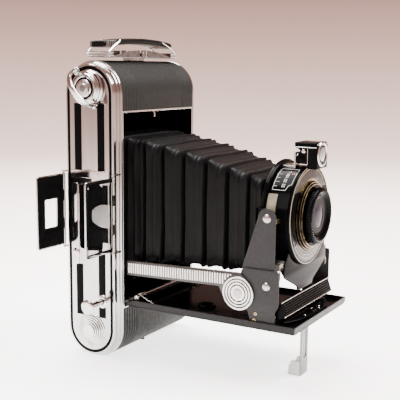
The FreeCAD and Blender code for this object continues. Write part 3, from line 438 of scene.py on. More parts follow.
# ---------------------------------------------------------------- sizes from the CAD model
left_high = mm_box("side_plate_left")[1]
right_low, right_high = mm_box("side_plate_right")
RADIUS = left_high[1]
TOP_ARC = left_high[2] - RADIUS
LEFT_IN = -38.5
RIGHT_IN, RIGHT_OUT = right_low[0], right_high[0]
bed_low, bed_high = mm_box("bed_panel")
FLOOR_TOP = 34.6
LENS_Z = 91.1


def stadium(inset, x, steps=36):
    """A ring of points round the body's outline at one X."""
    r = RADIUS - inset
    points = []
    for i in range(steps + 1):
        a = pi * i / steps
        points.append((x, r * cos(a), TOP_ARC + r * sin(a)))
    for i in range(steps + 1):
        a = pi + pi * i / steps
        points.append((x, r * cos(a), RADIUS + r * sin(a)))
    return points


def oval_band(name, outer, inner, x0, x1, look, body="case"):
    """A flat band that runs round the body's outline between two insets."""
    rings = [stadium(inner, x0), stadium(inner, x1), stadium(outer, x1), stadium(outer, x0), stadium(inner, x0)]
    return Build().loft(rings, caps=False).object(name, body, look)


# ---------------------------------------------------------------- side plates
def side_plates():
    """The two formed end plates with their painted lines, bars, disc and feet."""
    profile = [(4.0, LEFT_IN), (0.2, LEFT_IN), (0, LEFT_IN - 0.2), (0, -39.5), (0.12, -39.8), (0.4, -40.0),
        (0.85, -40.0), (0.98, -40.15), (1.05, -40.9), (1.2, -41.35), (1.5, -41.6), (1.85, -41.6), (2.02, -41.8),
        (2.1, -43.6), (2.25, -44.15), (2.6, -44.45), (3.0, -44.5)]
    plate = Build().loft([stadium(i, x) for i, x in profile]).object("left_plate", "case", PANEL,
        ["side_plate_left"], "nickel", angle=40)
    recess = Build().loft([[(x, y, z) for y, z in rect(-8, 65.7, 8, 104, 2.2)] for x in (-46, -40.1)])
    cut_out(plate, recess)
    oval_band("racetrack_line", 3.35, 5.2, -44.40, -44.55, STRIPE)
    for side, y0, y1, part, low, high in (("rear", 5.6, 10.7, "low", 25.5, 56.5),
            ("rear", 5.6, 10.7, "high", 112.0, 150.5), ("front", -10.7, -5.6, "low", 25.5, 65.2),
            ("front", -10.7, -5.6, "high", 112.0, 150.5)):
        sheet_metal(f"stripe_{side}_{part}", "YZ", [rect(y0, low, y1, high, 0.3)], -44.56, 0.3, "case", STRIPE,
            0.04)
    sheet_metal("cross_band", "YZ", [rect(-13.6, 107.6, 13.6, 112.2, 0.4)], -44.92, 0.8, "case", CHROME, 0.3)
    turned("band_pin", "case", CHROME, (-44.85, -6.5, 110.6), (-1, 0, 0),
        [(0, 0), (0.75, 0), (0.6, 0.3), (0, 0.4)], 20)
    sheet_metal("side_bar", "YZ", [rect(8.3, 56, 12.6, 104.5, 1.6)], -44.9, 0.6, "case", CHROME, 0.5)
    turned("side_bar_stud", "case", CHROME, (-44.8, 10.4, 63.5), (-1, 0, 0),
        [(0, 0), (2.3, 0), (2.2, 0.5), (1.2, 1.0), (0, 1.1)], 28)
    slab("side_bar_slot", "case", DARK, (-44.93, 10.0, 97.2), (-44.8, 10.9, 102))
    steps = [(0, -0.4), (10.0, -0.4), (10.0, 0.25), (9.8, 0.5), (9.2, 0.6)]
    for i in range(5):
        r = 8.9 - i * 1.15
        steps += [(r + 0.35, 0.35 + i * 0.55), (r, 0.4 + i * 0.55), (r - 0.05, 1.1 + i * 0.55),
            (r - 0.2, 1.25 + i * 0.55), (r - 0.7, 1.2 + i * 0.55)]
    steps += [(3.0, 3.4), (1.5, 3.7), (0, 3.75)]
    turned("stepped_disc", "case", CHROME, (-44.5, 0, 17.2), (-1, 0, 0), steps, 72, angle=28)
    right = [(4.0, RIGHT_IN), (0.2, RIGHT_IN), (0, RIGHT_IN + 0.2), (0, 39.6), (0.15, 39.9), (0.5, 40.0),
        (1.7, 40.0), (1.95, 40.15), (2.1, 40.7), (2.3, 40.92), (2.7, RIGHT_OUT)]
    Build().loft([stadium(i, x) for i, x in right]).object("right_plate", "case", PANEL, ["side_plate_right"],
        "nickel", angle=40)
    oval_band("right_racetrack", 3.35, 5.2, 40.9, 41.0, STRIPE)
    for i, y in enumerate((-8.2, 8.2)):
        sheet_metal(f"right_stripe_{i}", "YZ", [rect(y - 2.5, 24, y + 2.5, 151, 0.3)], 40.85, 0.15, "case",
            STRIPE, 0.03)
    for i, y in enumerate((-6.0, 6.0)):
        turned(f"small_foot_{i}", "case", DARK, (0, y, 0.62), (0, 0, -1),
            [(0, 0), (1.6, 0), (1.5, 0.5), (0, 0.6)], 20)


side_plates()


# ---------------------------------------------------------------- coverings of the body
def rib_depth(x):
    """How deep the pressed lines of the covering are at one X, in millimetres."""
    depth = 0.0
    for i in range(5):
        for centre in (-35.2 + i * 2.5, 35.2 - i * 2.5):
            depth = max(depth, exp(-((x - centre) / 0.42) ** 2))
    return 0.3 * depth


def covering(name, body, path, node, count, sunk, wave):
    """A skin along part of the outline with pressed lines; path is a list of (y, z, outward y, outward z).

    count: points across it. sunk: how far it lies below the outline. wave: the height of its unevenness.
    """
    thick, edge_width, edge_drop = 0.58, 0.5, 0.3
    xs = [-COVER_HALF + 2 * COVER_HALF * i / count for i in range(count + 1)]
    rings = []
    for y, z, ny, nz in path:
        outer = []
        for x in xs:
            edge = max(0.0, 1 - (COVER_HALF - abs(x)) / edge_width) ** 2 * edge_drop
            d = -rib_depth(x) - edge - sunk + noise.noise(Vector((x * 0.11, y * 0.1, z * 0.1))) * wave
            outer.append((x, y + ny * d, z + nz * d))
        rings.append(outer + [(x, y - ny * thick, z - nz * thick) for x in (xs[-1], xs[0])])
    return Build().loft(rings).object(name, body, LEATHER, node, "leather_black", angle=50)


def arc_path(centre_z, a0, a1, steps):
    return [(RADIUS * cos(a), centre_z + RADIUS * sin(a), cos(a), sin(a))
        for a in [radians(a0 + (a1 - a0) * i / steps) for i in range(steps + 1)]]


def coverings():
    """The two skins of the body and the bright edges of the front opening."""
    top = arc_path(TOP_ARC, 34, 180, 60)
    top += [(-RADIUS, z, -1, 0) for z in (154, 151, 148.5, 147.0, 146.7)]
    covering("top_covering", "case", top, ["casing_leather"], 170, 0.05, 0.03)
    low = [(-RADIUS, z, -1, 0) for z in (31.5, 29, 26, 22.5)] + arc_path(RADIUS, 180, 318, 56)
    covering("low_covering", "case", low, [], 170, 0.05, 0.03)
    slab("opening_top_trim", "case", CHROME, (-38.3, -19.02, 145.45), (38.3, -18.1, 146.62), bevel=0.25)
    for side, x0, x1 in (("left", -38.38, -37.62), ("right", 37.62, 38.38)):
        slab(f"opening_{side}_trim", "case", CHROME, (x0, -19.0, 31.7), (x1, -17.2, 146.5), bevel=0.2)
    slab("opening_low_trim", "case", CHROME, (-38.3, -19.0, 31.6), (38.3, -18.46, 32.3), bevel=0.15)


coverings()


# ---------------------------------------------------------------- key, knob
def winding_key():
    """The film key with its folding strap, and the plunger knob below it."""
    z = (mm_box("key_bail")[0][2] + mm_box("key_bail")[1][2]) / 2
    face = SIDE_FACE
    turned("key_dome", "key", CHROME, (face, 0, z), (-1, 0, 0), [(0, 0), (10.4, 0), (10.4, 0.9), (10.1, 1.4),
        (9.9, 1.7), (9.8, 2.9), (9.5, 3.4), (9.0, 3.7), (8.4, 3.9), (8.2, 4.1), (8.0, 4.4), (7.4, 4.6),
        (6.6, 4.6), (6.3, 4.4), (6.2, 3.0), (5.3, 3.0), (5.2, 4.6), (4.9, 5.1), (4.2, 5.3), (2.9, 5.3),
        (2.7, 5.4), (2.5, 5.7), (0, 5.7)], 96, stands_for=["winding_key"], slot="nickel", angle=26)
    turned("key_groove_shade", "key", DARK, (face - 3.05, 0, z), (-1, 0, 0),
        [(5.25, 0), (6.15, 0), (6.15, 0.2), (5.25, 0.2), (5.25, 0)], 72)
    screw = Build().lathe((face - 5.7, 0, z), (-1, 0, 0), [(0, 0), (1.9, 0), (1.85, 0.12), (1.3, 0.2),
        (0, 0.2)], 32)
    made = screw.object("key_screw", "key", STEEL)
    cut_out(made, Build().block((face - 6.2, -0.28, z - 2.2), (face - 5.75, 0.28, z + 2.2)))
    lean = Matrix.Rotation(radians(-33), 3, "X")
    along, out, wide = lean @ Vector((0, 0, 1)), Vector((-1, 0, 0)), lean @ Vector((0, 1, 0))
    centre = Vector((-47.6, 0, z))
    lugs = Build()
    for side in (-1, 1):
        p = centre + along * side * 10.6
        lugs.rod(p, p + along * side * 2.9, 0.7, 18)
        lugs.rod(p - Vector((-1.6, 0, 0)), p - Vector((1.6, 0, 0)), 1.5, 24)
    lugs.object("key_lugs", "key", CHROME)
    rings = []
    for i in range(49):
        a = pi * i / 48
        spot = centre + along * cos(a) * 12.1 + out * sin(a) * 12.1
        radial = (along * cos(a) + out * sin(a))
        taper = 1.0 - 0.35 * abs(cos(a)) ** 6
        section = []
        for u, v in ((-0.5, -1.35), (-0.15, -1.6), (0.3, -1.45), (0.5, -1.1), (0.5, 1.1), (0.3, 1.45),
                (-0.15, 1.6), (-0.5, 1.35)):
            section.append(spot + radial * u + wide * v * taper)
        rings.append(section)
    bail = Build().loft(rings)
    for side in (-1, 1):
        p = centre + along * side * 12.1
        bail.lathe(p - along * 0.75, along, [(0.8, 0), (1.75, 0), (1.9, 0.2), (1.9, 1.3), (1.75, 1.5),
            (0.8, 1.5), (0.8, 0)], 28)
    bail.object("key_strap", "key_bail", CHROME, ["key_bail"], "nickel", angle=38)
    y, kz = -8.0, 35.5
    turned("plunger_knob", "side_knob", CHROME, (-59.3, y, kz), (1, 0, 0),
        [(0, 0.15), (2.2, 0.1), (3.6, 0.25), (4.2, 0.6), (4.3, 1.0), (4.1, 1.5), (2.6, 2.1), (1.7, 2.5),
        (1.5, 3.0), (1.5, 17.3), (0, 17.3)], 48, stands_for=["side_knob"], slot="nickel", angle=28)
    turned("knob_collar", "case", CHROME, (-44.3, y, kz), (-1, 0, 0), [(1.7, -0.3), (4.1, -0.3), (4.1, 0.2),
        (3.8, 0.6), (2.6, 0.85), (1.9, 0.9), (1.7, 0.6), (1.7, -0.3)], 40, angle=28)


winding_key()


# ---------------------------------------------------------------- folding side finder
def frame_leaf(name, body, y, x_out, x_in, hole, look, node):
    """One leaf of the finder with its window."""
    low, high = 67.2, 109.6
    outline = rounded([(x_out, low, 1.8), (x_in + 1.3, low, 0.3), (x_in + 1.3, high, 0.3), (x_out, high, 1.8)],
        1.0)
    x0, x1, z0, z1, r = hole
    inner = rect(x0, z0, x1, z1, r)
    sheet_metal(name, "XZ", [outline, inner], -y - 0.45, 0.9, body, look, 0.2, node)


def side_finder():
    """The open frame finder: two leaves, their hinges and the plates under them."""
    frame_leaf("front_frame", "finder_front", -18.5, -73, -47.3, (-71.3, -49.4, 68.9, 107.9, 1.4), CHROME,
        ["finder_front_frame"])
    sheet_metal("front_pane", "XZ", [rect(-71.2, 69.0, -49.5, 107.8, 1.3)], 18.5 - 0.25, 0.5, "finder_front",
        GLASS, 0.1, ["finder_front_lens"])
    slab("pane_outer_mask", "finder_front", DARK, (-71.6, -18.99, 68.4), (-71.1, -18.0, 108.2))
    slab("pane_low_mask", "finder_front", DARK, (-71.4, -18.99, 68.5), (-49.3, -18.0, 69.2))
    turned("pane_screw", "finder_front", CHROME, (-70.2, -18.9, 106.4), (0, -1, 0),
        [(0, 0.3), (0.6, 0.25), (0.75, 0), (0, 0)], 16)
    slab("pane_white_line", "finder_front", WHITE, (-52.2, -18.95, 70.0), (-51.9, -18.3, 107.0))
    slab("pane_top_mask", "finder_front", DARK, (-71.4, -18.95, 107.2), (-49.3, -18.1, 108.4), bevel=0.1)
    slab("pane_side_mask", "finder_front", DARK, (-50.6, -18.9, 69.0), (-49.3, -18.15, 108.0), bevel=0.1)
    frame_leaf("rear_frame", "finder_rear", 18.5, -69.5, -45.5, (-62.7, -52.5, 79, 95.5, 0.6), CHROME,
        ["finder_rear_frame"])
    for tag, face in (("front", -1), ("rear", 1)):
        y = 18.5 + face * 0.5 - 0.03
        sheet_metal(f"rear_leaf_paint_{tag}", "XZ", [rounded([(-68.9, 67.9, 1.4), (-45.6, 67.9, 0.3),
            (-45.6, 108.9, 0.3), (-68.9, 108.9, 1.4)], 1.0), rect(-62.95, 78.75, -52.25, 95.75, 0.7)],
            -y - 0.03, 0.06, "finder_rear", DARK, 0.02)
    for tag, body, x, y in (("front", "finder_front", -47.3, -18.5), ("rear", "finder_rear", -45.5, 18.5)):
        knuckles = Build()
        for low, high in ((67.2, 77), (83, 93.5), (99.8, 109.6)):
            knuckles.lathe((x, y, low), (0, 0, 1), [(0.57, 0), (1.0, 0), (1.1, 0.15), (1.1, high - low - 0.15),
                (1.0, high - low), (0.57, high - low), (0.57, 0)], 20)
        knuckles.object(f"{tag}_knuckles", body, SATIN, angle=30)
    fixed = Build()
    for x, y, y0, y1 in ((-45.5, 18.5, 18.0, 19.0), (-47.3, -18.5, -19.0, -18.0)):
        for z in (65.4, 110.2):
            fixed.block((x - 0.6, y0 + 0.2, z), (-40.0, y1 - 0.2, z + 0.9))
            fixed.lathe((x, y, z), (0, 0, 1), [(0, 0), (0.9, 0), (1.0, 0.15), (1.0, 0.8), (0.8, 1.0), (0, 1.0)],
                20)
        fixed.rod((x, y, 65.0), (x, y, 111.6), 0.5, 14)
    fixed.object("finder_hinges", "case", SATIN, ["finder_base"], "nickel", bevel=0.12)
    sheet_metal("finder_recess_floor", "YZ", [rect(-7.8, 65.9, 7.8, 103.8, 2.0)], -40.9, 0.7, "case", DARK, 0.1)
    sheet_metal("finder_dark_panel", "YZ", [rect(-16.2, 70.6, -8.0, 104.3, 0.5)], -44.75, 0.35, "case", DARK,
        0.08)
    tab = [(-13.9, 79.6, 0.3), (-7.2, 79.6, 2.8), (-4.3, 82.2, 2.6), (-4.3, 90.4, 2.6), (-7.2, 93.0, 2.8),
        (-13.9, 93.0, 0.3)]
    sheet_metal("finder_tab", "YZ", [rounded(tab, 2.0)], -44.85, 0.25, "case", PALE, 0.15)
    turned("tab_rivet", "case", DARK, (-44.83, -12.4, 87.0), (-1, 0, 0),
        [(0, 0), (0.7, 0), (0.65, 0.04), (0, 0.05)], 18)


side_finder()


# ---------------------------------------------------------------- bellows
def bellows():
    """The folded leather tube, built in its open shape on the case body."""
    ridges = [9.5, -3.0, -15.8, -28.0, -40.2, -53.2, -66.7, -80.2, -93.0, -101.2]
    def section(y):
        """Half width, top and bottom of the bellows at one Y, at the crests."""
        t = (y - 14) / (-101 - 14)
        half = 33.2 - 8.2 * max(0, t) ** 1.25
        top = 133.6 - 21.5 * max(0, t) ** 1.75
        low = 50.5 + 9.0 * min(1, max(0, t) / 0.5) + 5.0 * max(0, (t - 0.86) / 0.14)
        return half, top, low

    def around(y, deep, corner, wobble):
        half, top, low = section(y)
        half, top, low = half - deep * 0.8, top - deep * 1.3, low + deep * 0.85
        pts = []
        c = corner
        wide, tall = 2 * half - 2 * c, top - low - 2 * c
        runs = (((-half, low + c), (0, tall), (-1, 0), (-half + c * 0.28, top - c * 0.30, -0.75, 0.65)),
            ((-half + c, top), (wide, 0), (0, 1), (half - c * 0.28, top - c * 0.30, 0.75, 0.65)),
            ((half, top - c), (0, -tall), (1, 0), (half - c * 0.28, low + c * 0.30, 0.75, -0.65)),
            ((half - c, low), (-wide, 0), (0, -1), (-half + c * 0.28, low + c * 0.30, -0.75, -0.65)))
        for (x, z), (dx, dz), out, bend in runs:
            pts += [(x + dx * k / 12, z + dz * k / 12, *out) for k in range(13)] + [bend]
        out = []
        for x, z, nx, nz in pts:
            bulge = noise.noise(Vector((x * 0.05, y * 0.13, z * 0.05))) * 0.55 * wobble
            out.append((x + nx * bulge, y + noise.noise(Vector((x * 0.06 + 9, y * 0.2,
                z * 0.05))) * 0.35 * wobble, z + nz * bulge))
        return out

    rings = []
    edges = [14.0] + ridges
    for a, b in zip(edges, edges[1:]):
        for k, (t, deep, corner) in enumerate(((0.0, 4.6, 7.0), (0.03, 3.2, 6.4), (0.065, 1.5, 3.0),
                (0.10, 0.5, 2.0), (0.125, 0.05, 2.0), (0.15, 0.3, 2.4), (0.3, 0.75, 4.8), (0.47, 0.8, 5.4),
                (0.5, 0.35, 5.2), (0.53, 0.8, 5.4), (0.7, 0.7, 4.4), (0.84, 0.35, 2.4), (0.865, 0.0, 2.0),
                (0.89, 0.4, 2.0), (0.93, 1.6, 3.2), (0.97, 3.4, 6.4))):
            y = a + (b - a) * t
            scale = 0.55 if a > 12 else 1.0
            rings.append(around(y, deep * scale, corner, 1.0 if -98 < y < 8 else 0.2))
    rings.append(around(-101.3, 3.0, 6.0, 0.0))
    walls = Build().loft(rings, caps=False)
    piece = walls.object("leather_bellows", "case", BELLOWS, ["bellows"], "leather_bellows", angle=60)
    thick = piece.modifiers.new("leather", "SOLIDIFY")
    thick.thickness = 0.7 * MM
    thick.offset = -1
    smooth = piece.modifiers.new("smooth", "SUBSURF")
    smooth.levels = smooth.render_levels = 1
    final = baked(piece)
    piece.modifiers.clear()
    piece.data = final
    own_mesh(piece)


bellows()


# ---------------------------------------------------------------- bed
def bed():
    """The drop bed with its rims, hinge, spring, tripod socket and leg plate."""
    x0, x1 = bed_low[0], bed_high[0]
    front, rear, floor = bed_low[1], -19.4, FLOOR_TOP
    slab("bed_floor", "bed", ENAMEL, (x0 + 0.5, front + 0.5, 33.65), (x1 - 0.5, rear, floor),
        stands_for=["bed_panel"], slot="enamel_black", bevel=0.1)
    rims = Build()
    for side in (-1, 1):
        outer, inner = side * x1, side * (x1 - 0.8)
        rail = [(rear, 33.7), (rear, 34.9), (-24, 36.7), (-27, 37.0), (front + 0.3, 37.0), (front, 36.7),
            (front, 33.7)]
        rims.prism(rail, outer, inner)
    rims.block((x0 + 0.7, front, 33.7), (x1 - 0.7, front + 0.8, 37.0))
    rims.object("bed_rims", "bed", RIM, bevel=0.22)
    lining = Build()
    for side in (-1, 1):
        lining.block((side * (x1 - 0.82), front + 0.9, 34.5), (side * (x1 - 1.0), -24.5, 36.6))
    lining.block((x0 + 1.0, front + 0.8, 34.5), (x1 - 1.0, front + 1.0, 36.7))
    lining.object("bed_lining", "bed", ENAMEL)
    sheet_metal("bed_covering", "XY", [rounded([(x0 + 0.2, front + 0.2, 1.5), (x1 - 0.2, front + 0.2, 1.5),
        (x1 - 0.2, rear - 0.5, 0.3), (x0 + 0.2, rear - 0.5, 0.3)], 1.0), circle(-17.5, -63, 5.45)[::-1]], 33.0,
        0.62, "bed", LEATHER, 0.2, ["bed_leather"])
    hinge = Build()
    for k in range(6):
        a = -31 + k * 10.4
        hinge.lathe((a, -17.5, 35), (1, 0, 0), [(0.85, 0), (1.35, 0), (1.45, 0.15), (1.45, 9.8), (1.35, 9.95),
            (0.85, 9.95), (0.85, 0)], 20)
    hinge.block((-31, -19.9, 33.7), (31, -17.9, 34.5))
    hinge.object("bed_hinge", "bed", SATIN, bevel=0.05, angle=30)
    bush = Build()
    profile = [(3.175, 0), (5.4, 0), (5.4, 2.0), (5.15, 2.5), (4.9, 3.0), (3.6, 3.0), (3.25, 2.7)]
    rings = []
    for i in range(120):
        a = 2 * pi * i / 120
        ring = []
        for r, h in profile:
            rr = r + (0.0 if i % 2 or r < 5.3 else -0.22)
            ring.append((-17.5 + rr * cos(a), -63 + rr * sin(a), 33.0 + h))
        rings.append(ring)
    rings.append(rings[0])
    bush.loft([[ring[k] for ring in rings[:-1]] for k in range(len(profile))]
        + [[ring[0] for ring in rings[:-1]]], caps=False)
    bush.object("tripod_socket", "bed", ENAMEL, ["tripod_bush"], "steel", angle=25)
    rod = Build().rod((-34, -25, 38.6), (34, -25, 38.6), 0.8, 16)
    for side in (-1, 1):
        coil = []
        for i in range(140):
            a = i / 140 * 2 * pi * 5
            coil.append((side * (26 + 5.5 * i / 140), -25 + 1.25 * cos(a), 38.6 + 1.25 * sin(a)))
        rod.tube(coil, 0.38, 8)
        rod.tube([(side * 31.5, -25, 39.8), (side * 31.8, -30, 37.5), (side * 31.9, -36, 35.2)], 0.4, 8)
    rod.object("spring_rod", "bed", CHROME, ["bed_spring"], "nickel", angle=30)
    posts = Build()
    for side in (-1, 1):
        posts.block((side * 33.5 - 0.45, -26.4, FLOOR_TOP), (side * 33.5 + 0.45, -23.6, 38.9))
        posts.block((side * 33.5, -26.4, FLOOR_TOP), (side * 30, -23.6, 35.2))
    posts.object("spring_posts", "bed", SATIN, bevel=0.15)
    radius, centre = 60.25, -64.35
    edge = [(radius * sin(t), centre - radius * cos(t)) for t in [radians(-29.6 + 59.2 * i / 40)
        for i in range(41)]]
    sheet_metal("leg_plate", "XY", [edge], FLOOR_TOP, 1.8, "bed", ENAMEL, 0.5, ["leg_housing"])
    Build().tube([(x, y - 0.1, 36.3) for x, y in edge], 0.42, 10).object("leg_plate_rim", "bed", ENAMEL)
    turned("leg_plate_boss", "bed", ENAMEL, (1.0, -120.0, 36.2), (0, 0, 1),
        [(0, 1.55), (1.2, 1.45), (2.4, 1.05), (3.2, 0.4), (3.5, -0.2), (0, -0.2)], 40, angle=25)
    turned("leg_plate_rivet", "bed", CHROME, (1.0, -120.0, 37.6), (0, 0, 1),
        [(0, 0.3), (0.8, 0.2), (1.0, -0.1), (0, -0.1)], 24)
    screws = Build()
    for x, y in ((8.8, -121.2), (12.5, -119.8), (-9, -120.5)):
        screws.lathe((x, y, 36.3), (0, 0, 1), [(0, 0.35), (0.7, 0.3), (0.9, 0.05), (0.9, -0.1), (0, -0.1)], 20)
    for x, y in ((-35.4, -103.4), (35.4, -103.4)):
        screws.lathe((x, y, 35.3), (0, 0, 1), [(0, 0.4), (0.9, 0.3), (1.1, 0.0), (1.1, -0.2), (0, -0.2)], 20)
    screws.object("bed_screws", "bed", CHROME)
    lugs = Build()
    for x in (-9.8, 1.0):
        lugs.block((x, -120.1, 29.9), (x + 0.8, -117.1, 33.1))
    lugs.rod((-10.0, -118.6, 31.2), (2.0, -118.6, 31.2), 0.6, 16)
    lugs.object("leg_lugs", "bed", SATIN, bevel=0.15)


bed()


def bracket(side, tag):
    """Crackle-painted plate that rises from the bed."""
    outline = rounded([(-95, 64.9, 0.8), (-96, 65.5, 0.8), (-116.2, 65.5, 0.8), (-116.6, 64.7, 0.5),
        (-116.6, 46.2, 1), (-114.8, 43.2, 1), (-114.8, FLOOR_TOP + 0.1, 0.2), (-100.4, FLOOR_TOP + 0.1, 0.2),
        (-98.7, 42.2, 1.5), (-91, 46.6, 2), (-88.3, 51, 2), (-91.2, 55.4, 2)], 1.0)
    start = 35.0 if side > 0 else -35.75
    sheet_metal(f"bracket_{tag}", "YZ", [outline], start, 0.75, "bed", CRACKLE, 0.18, [f"bed_bracket_{tag}"])
    slab(f"bracket_foot_{tag}", "bed", CRACKLE, (side * 31.4, -114.8, FLOOR_TOP),
        (side * 35.7, -100.4, FLOOR_TOP + 0.8), bevel=0.2)
    pins = Build()
    out = side * 35.75
    for y, z, r in ((-103.4, 41.1, 1.0), (-102.7, 37.4, 1.0)):
        pins.lathe((out - side * 0.1, y, z), (side, 0, 0), [(0.45, 0.1), (r, 0), (r, 0.3), (r - 0.2, 0.45),
            (0.5, 0.45), (0.45, 0.1)], 20)
    pins.object(f"bracket_pins_{tag}", "bed", BRASS, angle=28)
    inner = Build().rod((side * 32.1, -113.6, 40.6), (side * 35.1, -113.6, 40.6), 1.2, 20)
    inner.object(f"release_pivot_{tag}", "bed", SATIN)
    heads = Build()
    heads.rod((side * 33.4, -109.4, 56.7), (out, -109.4, 56.7), 1.4, 24)
    heads.lathe((out, -109.4, 56.7), (side, 0, 0), [(0, 0.95), (1.0, 0.88), (1.9, 0.6), (2.25, 0.2), (2.25, 0),
        (0, 0)], 36)
    heads.rod((side * 35.8, PIVOT_Y, PIVOT_Z), (side * 37.05, PIVOT_Y, PIVOT_Z), 1.9, 24)
    heads.lathe((side * 37.05, PIVOT_Y, PIVOT_Z), (side, 0, 0), [(0, 0.3), (2.0, 0.3), (2.7, 0.2), (2.8, 0),
        (0, 0)], 36)
    heads.object(f"bracket_rivet_heads_{tag}", "bed", SATIN, angle=24)
    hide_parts("bracket_rivets")


def wing(side, tag):
    """The painted plate beside the lens board."""
    arc = circle(-108.5, 93.2, 5.3, 24, 10, 172)
    shape = [(-103.35, 93.6)] + arc + [(-113.75, 93.0), (-113.6, 90), (-113.4, 58.7), (-113.2, 55.4),
        (-111.6, 53.6), (-109.2, 52.8), (-106.6, 53.2), (-97.6, 59.8), (-95.3, 62.0), (-94.4, 64.2),
        (-94.7, 66.6)]
    start = 33.9 if side > 0 else -34.7
    sheet_metal(f"wing_plate_{tag}", "YZ", [shape], start, 0.8, f"wing_{tag}", CRACKLE, 0.2, [f"wing_{tag}"])


def strut(side, tag):
    """The fluted arm that holds the bed open."""
    disc = [(PIVOT_Y - 9.5 * cos(radians(a)), 51.1 + 9.5 * sin(radians(a))) for a in range(50, -151, -8)]
    shape = [(-20.0, 51.5), (-20.0, 60.3), (-93.9, 62.7)] + disc + [(-81.2, 53.5)]
    hole = circle(PIVOT_Y, PIVOT_Z, 1.96, 24)[::-1]
    base = 36.1 if side > 0 else -36.72
    # The plate under the flutes takes the dark metal, as painted shade between the flutes.
    sheet_metal(f"strut_plate_{tag}", "YZ", [shape, hole], base, 0.62, f"strut_{tag}", SHADE, 0.2,
        [f"strut_{tag}"])
    ribs = Build()
    count = 45
    for i in range(count):
        y = -21.6 - i * (91.5 - 21.6) / (count - 1)
        f = (-20 - y) / 73.9
        top = 60.3 + f * 2.4 - 1.3
        low = 51.5 + (-20 - y) / 61.2 * 2.0 + 1.3
        if y < -81:
            low = max(low, 51.1 + sqrt(max(0, 9.9 ** 2 - (y + 93) ** 2)) + 0.3)
        if top - low < 1.0:
            continue
        foot, tip = side * 36.72 - side * 0.05, side * 36.98
        ribs.add([(x, y + dy, z + dz * inward) for z, inward in ((low, 1), (top, -1)) for x, dy,
            dz in ((foot, -0.5, 0), (tip, -0.225, 0.35), (tip, 0.225, 0.35), (foot, 0.5, 0))], BOX_SIDES)
    ribs.object(f"strut_flutes_{tag}", f"strut_{tag}", PLATE, angle=20)
    turned(f"strut_rings_{tag}", f"strut_{tag}", PLATE, (side * 36.7, PIVOT_Y, PIVOT_Z), (side, 0, 0),
        [(2.0, -0.1), (9.3, -0.1), (9.3, 0.1), (9.0, 0.26), (8.3, 0.27), (8.1, 0.08), (7.6, 0.08), (7.4, 0.27),
        (6.7, 0.27), (6.5, 0.08), (6.0, 0.08), (5.8, 0.28), (5.0, 0.28), (4.8, 0.08), (4.3, 0.08), (4.1, 0.28),
        (3.0, 0.29), (2.0, 0.29), (2.0, -0.1)], 72, angle=20)
    # Painted shade: thin dark rings in the bottoms of the disc's grooves stand for the shade in them.
    groove_painted_shade = Build()
    for r in (7.85, 6.25, 4.55):
        groove_painted_shade.lathe((side * 36.72, PIVOT_Y, PIVOT_Z), (side, 0, 0), [(r - 0.28, 0), (r + 0.28, 0),
            (r + 0.28, 0.12), (r - 0.28, 0.12), (r - 0.28, 0)], 64)
    groove_painted_shade.object(f"strut_groove_painted_shade_{tag}", f"strut_{tag}", DARK)


def release_bar():
    """The ribbed bar across the front of the bed."""
    bar = Build()
    top, low = (-117.0, 48.6), (-119.65, 40.6)
    normal = Vector((0, -0.949, 0.314))
    along = Vector((0, low[0] - top[0], low[1] - top[1]))
    p = [Vector((x, *top)) + along * t for x in (-33.2, 33.2) for t in (0.0, 1.0)]
    back = Vector((0, 0.55, 0.15))
    bar.add([p[0], p[2], p[3], p[1], p[0] + back, p[2] + back, p[3] + back, p[1] + back], BOX_SIDES)
    for side in (-1, 1):
        arm = [(-117.0, 48.5), (-119.4, 40.5), (-114.5, 38.3), (-111.3, 39.7), (-111.5, 42.3)]
        bar.prism(arm, side * 33.2, side * 32.4)
    bar.object("release_bar_plate", "release_bar", ENAMEL, ["release_bar"], "enamel_black", bevel=0.12)
    ribs = Build()
    for k in range(5):
        t = 0.2 + 0.15 * k
        p = Vector((0, top[0], top[1])) + along * t + normal * 0.02
        ribs.rod(p + Vector((-31.8, 0, 0)), p + Vector((31.8, 0, 0)), 0.4, 12)
    ribs.object("release_bar_ribs", "release_bar", ENAMEL)
    edges = Build()
    for t in (0.04, 0.97):
        p = Vector((0, top[0], top[1])) + along * t + normal * 0.02
        edges.rod(p + Vector((-33.0, 0, 0)), p + Vector((33.0, 0, 0)), 0.42, 12)
    edges.object("release_bar_edges", "release_bar", CHROME)


def leg():
    """The folding support strip with its shoe."""
    strip = rounded([(-8.6, 0.3, 0.5), (0.6, 0.3, 0.5), (0.6, 29.9, 0.2), (-8.6, 29.9, 0.2)], 0.5)
    sheet_metal("leg_strip", "XZ", [strip, rect(-6.4, 10, -1.6, 26.5, 2.0)[::-1]], 118.05, 1.1, "leg", STEEL,
        0.3, ["support_leg"])
    sheet_metal("leg_ridge", "XZ", [rect(-6.2, 9.8, -1.8, 26.8, 2.0)], 118.2, 0.6, "leg", STEEL, 0.2)
    shoe = Build()
    shoe.block((-8.6, -118.6, 0.0), (0.6, -111.0, 0.9))
    for x in (-8.55, -0.25):
        cheek = [(-118.55, 0.05), (-111.1, 0.05), (-111.4, 5.0), (-113.0, 8.55), (-118.55, 8.55)]
        shoe.prism(cheek, x, x + 0.8)
    shoe.object("leg_shoe", "leg", SATIN, bevel=0.2)
    turned("leg_knuckle", "leg", CHROME, (-8.6, -118.6, 31.2), (1, 0, 0),
        [(0.67, 0), (1.2, 0), (1.3, 0.15), (1.3, 9.05), (1.2, 9.2), (0.67, 9.2), (0.67, 0)], 24, angle=28)


for sign, word in ((-1, "left"), (1, "right")):
    bracket(sign, word)
    wing(sign, word)
    strut(sign, word)
release_bar()
leg()


# ---------------------------------------------------------------- lens board and shutter
def spot(radius, angle, y):
    """A point about the lens axis; the angle runs clockwise from the top, seen from the front."""
    return radius * sin(angle), y, LENS_Z + radius * cos(angle)


